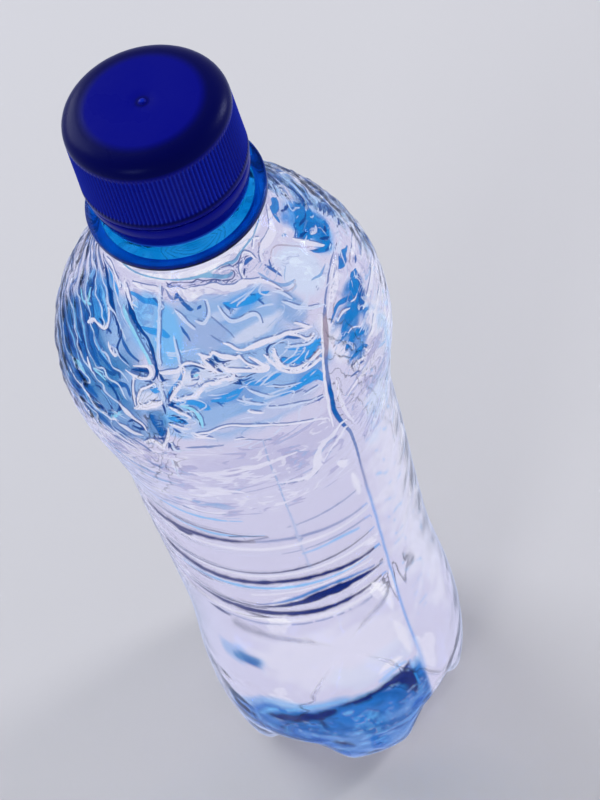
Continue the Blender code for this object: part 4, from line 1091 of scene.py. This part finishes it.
def shoulder_and_wall(shell):
    """Relief and soft tints of the wall, then the swirls of ink in it."""
    azimuth, height, swirl, fine = shell.azimuth, shell.height, shell.swirl, shell.fine
    far_left = window(azimuth, -215, -158, 9) + window(azimuth, 145, 190, 6)
    near_left = window(azimuth, -215, -160, 7)
    left = window(azimuth, -215, -141, 7)
    behind = window(azimuth, 4, 166, 10)
    facing = window(azimuth, -124, -62, 4) + window(azimuth, -54, 8, 8)
    band = window(height, 166, 191.5, 3)
    under = window(height, 139, 163, 6)
    panel = window(azimuth, -50, 8, 6) * window(height, 60, 172, 8)

    calm = 1 - 0.7 * window(azimuth, -52, -8, 8)
    ruffled = 0.35 * swirl + (0.12 + 0.3 * np.minimum(far_left + behind, 1)) * fine
    shell.relief += window(height, 164, 192, 5) * calm * ruffled
    shell.relief += groove_relief(azimuth, height)
    shell.relief += crease_relief(azimuth, height, shell.round[:, None], 1.1)
    flow = height + 1.6 * np.sin(np.radians(azimuth * 2.3)) + 2.2 * swirl
    shell.relief += 0.06 * under * np.sin(flow * 2.1 + 2 * swirl)
    streak = height * 0.9 + azimuth * 0.42
    shell.relief += 0.02 * panel * np.sin(streak * 0.6 + 2.5 * swirl)

    for patch in PATCHES:
        shell.patch(*patch)
    shell.soften("sky", 0.6 * behind * band * smooth(0.5 + 2.2 * swirl))
    shell.soften("ocean", 0.8 * behind * band * smooth(0.2 + 2.6 * fine))

    drift = shell.drawn(24, 9, 51, 1)
    flowing = (height + 0.2 * azimuth) / 3.1 + 1.6 * drift + 0.8 * swirl + 0.2 * fine
    broad = shell.drawn(13, 5.5, 31, 1.2)
    thin = shell.drawn(15, 3.4, 5, 0.9)
    level = shell.drawn(16, 2.6, 17, 0.8)
    streaks = streak / 9 + 0.5 * swirl
    # Layer, ink, strength, lift, field, the step from line to line and its shift, half width,
    # where, and how much of it: a fixed part and a part that follows a noise.
    # The light lines are painted highlights on raised wrinkles; the dark lines and the mauve wash
    # are painted shade along the sunk ones.
    for *line, where, fixed, varied in (
        ("wash", "royal", 0.7, 0, flowing, 1, 0.2, 0.5, far_left * band, 1.3, 2 * swirl),
        ("wash", "royal", 0.7, 0, broad, 0.2, 0.15, 0.9, behind * band, 0.8, 2 * fine),
        ("dark", "navy", 0.93, -0.1, flowing, 1, 0, 0.2, near_left * band, 0.9, 1.5 * swirl),
        ("dark", "navy", 0.9, -0.12, broad, 0.2, 0, 0.3, behind * band, 0.9, 2 * swirl),
        ("light", "ice", 0.8, 0.12, flowing, 1, 0.45, 0.2, left * band, 0.9, -1.5 * swirl),
        ("light", "pale", 0.75, 0.2, broad, 0.2, 0.4, 0.24, behind * band, 0.9, -2 * swirl),
        ("dark", "steel", 0.5, -0.04, thin, 0.22, 0, 0.12, facing * band, 0.1, 2 * fine),
        ("light", "ice", 0.7, 0.05, thin, 0.22, 0.3, 0.16, facing * band, 0.3, -2 * fine),
        ("wash", "mauve", 0.7, -0.02, level, 0.3, 0.12, 0.5, under, 0.5, 2.2 * swirl),
        ("dark", "steel", 0.5, -0.03, level, 0.3, 0, 0.13, under, 0.1, 2.4 * swirl),
        ("light", "pale", 0.7, 0.04, level, 0.3, 0.3, 0.22, under, 0.5, -2 * swirl),
        ("wash", "sky", 0.45, 0, streaks, 0.5, 0, 0.35, panel, 0.1, 2.4 * fine),
        ("light", "pale", 0.6, 0.02, streaks, 0.5, 0.35, 0.3, panel, 0.3, -2.4 * fine),
    ):
        shell.marble(*line, where * smooth(fixed + varied))


def draw_crease(shell):
    """The crease's line of painted shade, over any other dark ink near it, and the bright edges
    beside it, painted highlights.
    """
    height, azimuth = shell.height, shell.azimuth
    shell.stroke("dark", "slate", 0.9, 0, CREASE_LINE, over=1.6)
    near = np.abs(turn_from(azimuth, along(CREASE, height))) * shell.per_degree < CREASE_REACH
    near |= (height > 176.5) & (height < 183) & (azimuth > -58) & (azimuth < -16)
    for ink, strength, low, high, fade in CREASE_INKS:
        share = near * window(height, low, high, fade) * (np.abs(shell.offset["dark"]) < 2)
        shell.ink["dark"] += (np.array(TINTS[ink]) - shell.ink["dark"]) * share[..., None]
        shell.strength["dark"] += (strength - shell.strength["dark"]) * share
    for strength, route in CREASE_EDGES:
        shell.stroke("light", "pale", strength, 0.2, route, over=0.3)


def blue_base(shell):
    """The thick base's blue, left of the crease and round the back, under a ragged edge."""
    azimuth, height, swirl, fine = shell.azimuth, shell.height, shell.swirl, shell.fine
    left = window(azimuth, -152, -90, 8)
    left += smooth((azimuth + 94) / 4) * smooth((-57.5 - azimuth) / 3)
    top = 46.5 - 9 * smooth((-128 - azimuth) / 24)
    skin = (shell.round[:, None] > 28) * (height < 60) * smooth((height - 4) / 3)
    inside = smooth((top + 2.5 * swirl - height) / 2.5) * left * skin
    deeper = smooth((top - 3 + 3 * swirl - height) / 3) * (0.6 + 0.4 * smooth((height - 26) / 6))
    deepest = smooth(0.4 + 1.8 * swirl) * smooth((top - 8 + 4 * fine - height) / 4)
    feet = window(azimuth, -152, -124, 6) * smooth((BASE_TOP - height) / 4)
    shell.soften("mist", 0.8 * inside)
    shell.soften("mid", inside * deeper)
    shell.soften("royal", 0.9 * inside * deepest * smooth((height - 20) / 3))
    shell.soften("clear", 0.6 * skin * feet)
    ragged = window(height, 8, 33, 4) * left * skin * smooth(0.4 - 2 * fine)
    shell.marble("light", "sky", 0.4, 0.1, shell.drawn(12, 7, 41, 1.3), 0.3, 0.4, 0.4, ragged)
    lumpy = smooth((49 - height) / 3) * smooth((height - 5) / 5) * (swirl + 0.5 * fine)
    shell.relief += (0.05 + 0.22 * left) * skin * lumpy


def neck_tints(shell):
    height, radius = shell.height, shell.round[:, None]
    mottled = smooth(0.5 + 1.6 * cloudy(*(v / 3 for v in shell.place)))
    flange = (height > 199.5) & (height < 203) & (radius > 12.6)
    shell.soften("cobalt", flange)
    shell.soften("azure", 0.5 * mottled * flange)
    shell.soften("navy", (height > 199) & (height < 201.7) & (radius > 15.9))
    shell.soften("azure", (height > 202.2) & (height < 210))
    shell.soften("pale", (height > 195.2) & (height < 199.5))


def keep_colours(item, name, colours, alpha=1.0):
    layer = item.data.color_attributes.new(name=name, type="FLOAT_COLOR", domain="POINT")
    values = np.empty((len(item.data.vertices), 4), np.float32)
    values[:, :3], values[:, 3] = colours, alpha
    layer.data.foreach_set("color", values.ravel())


def make_outside():
    profile = outer_profile()
    item = turned("bottle_shell", profile, COLUMNS)
    grid = rings_and_columns(item, profile, COLUMNS)
    shell = Shell(profile, column_azimuths(COLUMNS))
    blue_base(shell)
    shoulder_and_wall(shell)
    neck_tints(shell)
    for layer, ink, strength, lift, routes in STROKES:
        for route in routes:
            shell.stroke(layer, ink, strength, lift, route)
    draw_crease(shell)

    radius = np.repeat(shell.round[:, None], COLUMNS, axis=1)
    height = shell.height.copy()
    rings = len(base_rings())
    radius[:rings], height[:rings] = base_place(shell.azimuth[:rings], radius[:rings])
    skin, relief = shell.skin, shell.relief + shell.raised + shell.sunk
    relief = np.where(height < 60, np.minimum(relief, 0.3), relief)
    radius[skin] += (relief * shell.rise[:, None])[skin]
    height[skin] -= (relief * shell.slope[:, None])[skin]
    neck = (height > 209.5) & (height < 221.6)
    radius[neck] += thread_height(shell.azimuth[neck], height[neck])
    radius, height = np.minimum(radius, WIDEST), np.maximum(height, 0)
    place_points(item, radius[grid], shell.azimuth[grid], height[grid])

    keep_colours(item, "tint", (shell.tint ** 2)[grid])
    for layer in LAYERS:
        keep_colours(item, layer, shell.colours(layer)[grid], shell.offset[layer][grid])
    widths = np.stack([shell.width[layer] for layer in LAYERS], axis=-1)
    keep_colours(item, "widths", widths[grid], shell.blur[grid])
    return item


def inside_of_base(azimuth, radius):
    """The base's skin moved in square to itself, so its wall is even round the feet."""
    def place(turn, ring):
        across, height = base_place(turn, np.maximum(ring, 0))
        turn = np.radians(turn)
        return np.stack([across * np.cos(turn), across * np.sin(turn), height], axis=-1)
    outward = place(azimuth, radius + 0.05) - place(azimuth, radius - 0.05)
    around = place(azimuth + 0.2, radius) - place(azimuth - 0.2, radius)
    normal = np.cross(outward, around)
    normal /= np.linalg.norm(normal, axis=1)[:, None] + 1e-12
    turn = np.radians(azimuth)
    inward = np.stack([-np.cos(turn), -np.sin(turn), np.ones(len(turn))], axis=-1)
    normal *= np.sign((normal * inward).sum(axis=1))[:, None]
    normal[radius < 2] = 0, 0, 1
    x, y, height = (place(azimuth, radius) + BASE_WALL * normal).T
    return np.hypot(x, y), np.degrees(np.arctan2(y, x)), height


def make_inside():
    """The inner wall: even where the outside is wrinkled, so folds stand out as thicker plastic."""
    profile, steps = inner_profile(), COLUMNS // 2
    item = turned("bottle_inside", profile, steps)
    ring, column = rings_and_columns(item, profile, steps)
    azimuth = column_azimuths(steps)[column]
    radius, height = np.array(profile)[ring].T.copy()
    base = ring >= len(profile) - len(inner_base_rings())
    radius[base], azimuth[base], height[base] = inside_of_base(azimuth[base], radius[base])
    wall = ~base & (height < 194)
    relief = groove_relief(azimuth, height) + 0.8 * crease_relief(azimuth, height, radius, 1.6)
    radius[wall] += relief[wall]
    place_points(item, radius, azimuth, height)
    keep_colours(item, "tint", INSIDE_TINT)
    for layer in LAYERS:
        keep_colours(item, layer, TINTS["clear"], FAR)
    keep_colours(item, "widths", -FAR)
    return item


def make_bottle():
    """The outer and the inner wall, joined at the lip of the mouth."""
    outside, inside = make_outside(), make_inside()
    take(outside)
    inside.select_set(True)
    bpy.ops.object.join()
    bpy.ops.object.mode_set(mode="EDIT")
    bpy.ops.mesh.select_mode(type="EDGE")
    bpy.ops.mesh.select_all(action="DESELECT")
    bpy.ops.mesh.select_non_manifold()
    bpy.ops.mesh.bridge_edge_loops()
    bpy.ops.mesh.select_mode(type="VERT")
    return face_out(60)


def face_out(sharp):
    """Turns all faces outwards, and smooths all edges below an angle in degrees."""
    bpy.ops.mesh.select_all(action="SELECT")
    bpy.ops.mesh.normals_make_consistent(inside=False)
    bpy.ops.object.mode_set(mode="OBJECT")
    bpy.ops.object.shade_smooth_by_angle(angle=math.radians(sharp))
    return bpy.context.object


# --- Screw cap and tamper band ---
CAP_COLUMNS, BAND_COLUMNS, KNURL_RIBS, KNURL_DEPTH = 720, 192, 120, 0.27
CAP_BORE, CAP_THREAD, CAP_TOP_EDGE = 13.75, 0.75, 10.8
BRIDGES, BRIDGE_STUB = 12, 0.18


def close_up(item):
    """Closes the seam that the spin leaves."""
    take(item)
    bpy.ops.object.mode_set(mode="EDIT")
    bpy.ops.mesh.select_all(action="SELECT")
    bpy.ops.mesh.remove_doubles(threshold=0.005 * MM)
    return face_out(40)


def cap_outline():
    """(radius, height) over the top, down the skirt, up the inner wall and round the plug."""
    points = [(0, 225.5), (0.35, 225.47), (0.55, 225.36), (0.65, 225.2), (0.9, 225.16),
              (1.5, 225.2), (2.4, 225.28), (3.2, 225.3), (6, 225.3), (9.6, 225.3), (10.3, 225.27),
              (CAP_TOP_EDGE, 225.18)]
    for turn in np.radians(7.5 * np.arange(1, 13)):
        points.append((CAP_TOP_EDGE + 3.75 * math.sin(turn), 222.3 + 2.88 * math.cos(turn)))
    points += [(14.6, 221.9), (14.62, 221.5), (14.64, 221.1), (14.68, 220.2), (14.78, 217.5),
               (14.88, 215), (15, 212.2), (15.04, 211.6), (15.06, 211.2), (15.07, 210.9),
               (15.09, 210.4), (15.06, 210.05), (14.9, 209.8), (14.6, 209.7), (14, 209.7),
               (13.8, 209.75)]
    points += [(CAP_BORE, 209.95), (CAP_BORE, 210.6)]
    points += [(CAP_BORE, 211 + 0.6 * i) for i in range(18)]
    points += [(CAP_BORE, 222.4), (13.6, 222.9), (13.3, 223), (11, 223), (10.65, 222.9),
               (10.55, 222.6), (10.55, 220.4), (10.45, 219.9), (10.25, 219.6), (9.6, 219.6),
               (9.42, 219.75), (9.4, 220), (9.4, 222.6), (9.2, 222.95), (8.9, 223), (0, 223)]
    return points


def make_cap():
    item = turned("screw_cap", cap_outline(), CAP_COLUMNS)
    radius, azimuth, height = places_of(item)
    outer = (radius > 14.3) & (height > 210.6) & (height < 222.2)
    wave = 0.5 - 0.5 * np.cos(np.radians(azimuth * KNURL_RIBS))
    knurl = window(height, 211.5, 221.45, 0.4)
    # Painted highlights on the ribs' crests and on the gate's dot.
    painted_highlight = np.where(outer, knurl * (1 - wave) ** 2, 0) + 0.8 * (radius < 0.5)
    # Painted shade and reflection: darker on the rounded edge, in the groove under the ribs, and
    # round the dot.
    painted_shade = np.maximum.reduce([
        0.9 * smooth((radius - 9.4) / 1.9) * smooth((height - 221.9) / 0.8) * (height > 221.5),
        0.8 * window(height, 210.75, 211.25, 0.25) * (radius > 14.5),
        0.7 * smooth((1.6 - radius) / 0.5) * (radius > 0.72)])
    radius[outer] -= (KNURL_DEPTH * knurl * wave ** 0.7)[outer]
    # The screw thread inside, which runs in the gaps of the neck's.
    inside = (np.abs(radius - CAP_BORE) < 0.02) & (height > 210.4) & (height < 221.6)
    thread = thread_height(azimuth[inside] + 180, height[inside])
    radius[inside] -= CAP_THREAD * thread / THREAD_HEIGHT
    place_points(item, radius, azimuth, height)
    keep_colours(item, "shade", np.stack([painted_highlight, painted_shade, 0 * painted_shade], axis=1))
    return close_up(item)


def make_band():
    profile = [(13, 203.7), (13.7, 203.7), (13.83, 203.78), (13.88, 203.95), (14, 204.6),
               (14.28, 205.6), (14.5, 206.4), (14.64, 207), (14.72, 207.6), (14.75, 208.1),
               (14.75, 208.6), (14.7, 208.95), (14.58, 209.08), (14.4, 209.1), (13.95, 209.1),
               (13.83, 209), (13.8, 208.8), (13.8, 206.3), (13.5, 206.1), (12.78, 204.75),
               (12.7, 204.5), (12.7, 204), (12.78, 203.8), (13, 203.7)]
    item = turned("tamper_band_ring", profile, BAND_COLUMNS)
    radius, azimuth, height = places_of(item)
    # Stubs of the torn bridges stand on its top edge.
    top = (height > 209) & (radius > 14.2)
    height[top] += BRIDGE_STUB * smooth(np.cos(np.radians(azimuth[top] * BRIDGES)) * 6 - 5)
    place_points(item, radius, azimuth, height)
    edge = smooth((204.3 - height) / 0.5) * (radius > 13.2)
    keep_colours(item, "shade", np.stack([edge, 0 * edge, 0 * edge], axis=1))
    return close_up(item)


# --- Materials ---
def new_material(name):
    material = bpy.data.materials.new(name)
    material.use_nodes = True
    tree = material.node_tree
    return material, tree, tree.nodes["Principled BSDF"]


def new_group(name, inputs, outputs):
    """A shader node group with named sockets, and what it is given and puts out."""
    group = bpy.data.node_groups.new(name, "ShaderNodeTree")
    for in_out, sockets in (("INPUT", inputs), ("OUTPUT", outputs)):
        for socket, kind in sockets.items():
            group.interface.new_socket(socket, in_out=in_out, socket_type="NodeSocket" + kind)
    return group, group.nodes.new("NodeGroupInput").outputs, group.nodes.new("NodeGroupOutput")


def make_grain_group():
    """Fine moulded grain: a value that varies over the surface, and the bump of the grain."""
    group, given, result = new_group("moulded_grain", {"Scale": "Float", "Depth": "Float"},
                                     {"Blotch": "Float", "Normal": "Vector"})
    place = add(group, "TexCoord").outputs["Object"]
    grain = add(group, "TexNoise", {"Vector": place, "Scale": given["Scale"], "Detail": 3.0})
    blotch = add(group, "TexNoise", {"Vector": place, "Scale": 90.0, "Detail": 3.0})
    bump = add(group, "Bump", {"Strength": given["Depth"], "Distance": 0.0002, "Height": grain})
    feed(group, result, {"Blotch": blotch, "Normal": bump})
    return group


def make_ink_group():
    """Ink over a ground, with an edge where the offset from a stroke's middle is its half width."""
    inputs = {"Ground": "Color", "Ink": "Color"}
    inputs.update({name: "Float" for name in ("Offset", "Half Width", "Soft")})
    group, given, result = new_group("ink_over", inputs, {"Colour": "Color"})
    away = add(group, "Math", {0: given["Offset"]}, operation="ABSOLUTE")
    inside = add(group, "Math", {0: given["Half Width"], 1: away}, operation="SUBTRACT")
    share = add(group, "Math", {0: inside, 1: given["Soft"]}, operation="DIVIDE")
    edge = add(group, "MapRange", {"Value": share, "From Min": -1.0},
               interpolation_type="SMOOTHSTEP")
    mix = add(group, "Mix", {"Factor": edge, "A": given["Ground"], "B": given["Ink"]},
              data_type="RGBA")
    feed(group, result, {"Colour": mix.outputs["Result"]})
    return group


def blue_plastic(name, grain, deep, bright, black, roughness):
    """Moulded plastic, bright and black where the piece's shade says so; on the cap these are
    painted highlights and painted shade.
    """
    material, tree, shader = new_material(name)
    grained = add(tree, "Group", {"Scale": 2600.0, "Depth": 0.1}, node_tree=grain).outputs
    shade = add(tree, "SeparateColor", {0: add(tree, "VertexColor", layer_name="shade")}).outputs
    colour = deep
    for amount, over in ((shade[0], bright), (shade[1], black)):
        mix = add(tree, "Mix", {"Factor": amount, "A": colour, "B": over}, data_type="RGBA")
        colour = mix.outputs["Result"]
    rough = add(tree, "MapRange", {
        "Value": grained["Blotch"], "From Min": 0.3, "From Max": 0.7,
        "To Min": roughness - 0.05, "To Max": roughness + 0.07})
    feed(tree, shader, {
        "Base Color": colour, "Roughness": rough, "Normal": grained["Normal"],
        "IOR": 1.4, "Specular IOR Level": 0.1, "Specular Tint": (0.35, 0.45, 1.0)})
    return material


def clear_plastic(grain, ink_over):
    """Clear plastic, with the three layers of ink laid over its soft tint."""
    material, tree, shader = new_material("clear_shell")
    colour = add(tree, "VertexColor", layer_name="tint")
    widths = add(tree, "VertexColor", layer_name="widths").outputs
    half = add(tree, "SeparateColor", {0: widths["Color"]}).outputs
    for k, layer in enumerate(LAYERS):
        ink = add(tree, "VertexColor", layer_name=layer).outputs
        colour = add(tree, "Group", {
            "Ground": colour, "Ink": ink["Color"], "Offset": ink["Alpha"], "Half Width": half[k],
            "Soft": widths["Alpha"]}, node_tree=ink_over)
    grained = add(tree, "Group", {"Scale": 700.0, "Depth": 0.02}, node_tree=grain).outputs
    rough = add(tree, "MapRange", {"Value": grained["Blotch"], "From Min": 0.35, "From Max": 0.75,
                                   "To Min": 0.02, "To Max": 0.09})
    feed(tree, shader, {
        "Base Color": colour, "Roughness": rough, "IOR": 1.2, "Specular IOR Level": 0.35,
        "Specular Tint": (0.12, 0.3, 1.0), "Transmission Weight": 0.95})
    haze = add(tree, "VolumeAbsorption", {"Color": (0.25, 0.55, 1.0), "Density": 10.0})
    feed(tree, tree.nodes["Material Output"], {"Volume": haze})
    return material


def main():
    make_camera()
    make_room()
    make_floor()
    grain, ink_over = make_grain_group(), make_ink_group()
    bottle, cap, band = make_bottle(), make_cap(), make_band()
    # The cap's bright colour is its painted highlight, its black its painted shade and reflection.
    cap_blue = blue_plastic(
        "cap_blue", grain, (0.001, 0.002, 0.21), (0.004, 0.02, 0.40), (0.0005, 0.001, 0.05), 0.28)
    band_blue = blue_plastic(
        "band_blue", grain, (0.002, 0.004, 0.22), (0.02, 0.12, 0.75), (0.001, 0.001, 0.03), 0.16)
    for item, body, node, slot, material in (
        (bottle, "bottle", "bottle", "clear_plastic", clear_plastic(grain, ink_over)),
        (cap, "cap", "cap", "cap_plastic", cap_blue),
        (band, "bottle", "tamper_band", "band_plastic", band_blue),
    ):
        item.data.materials.clear()
        item.data.materials.append(material)
        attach(item, body)
        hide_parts(node)


main()
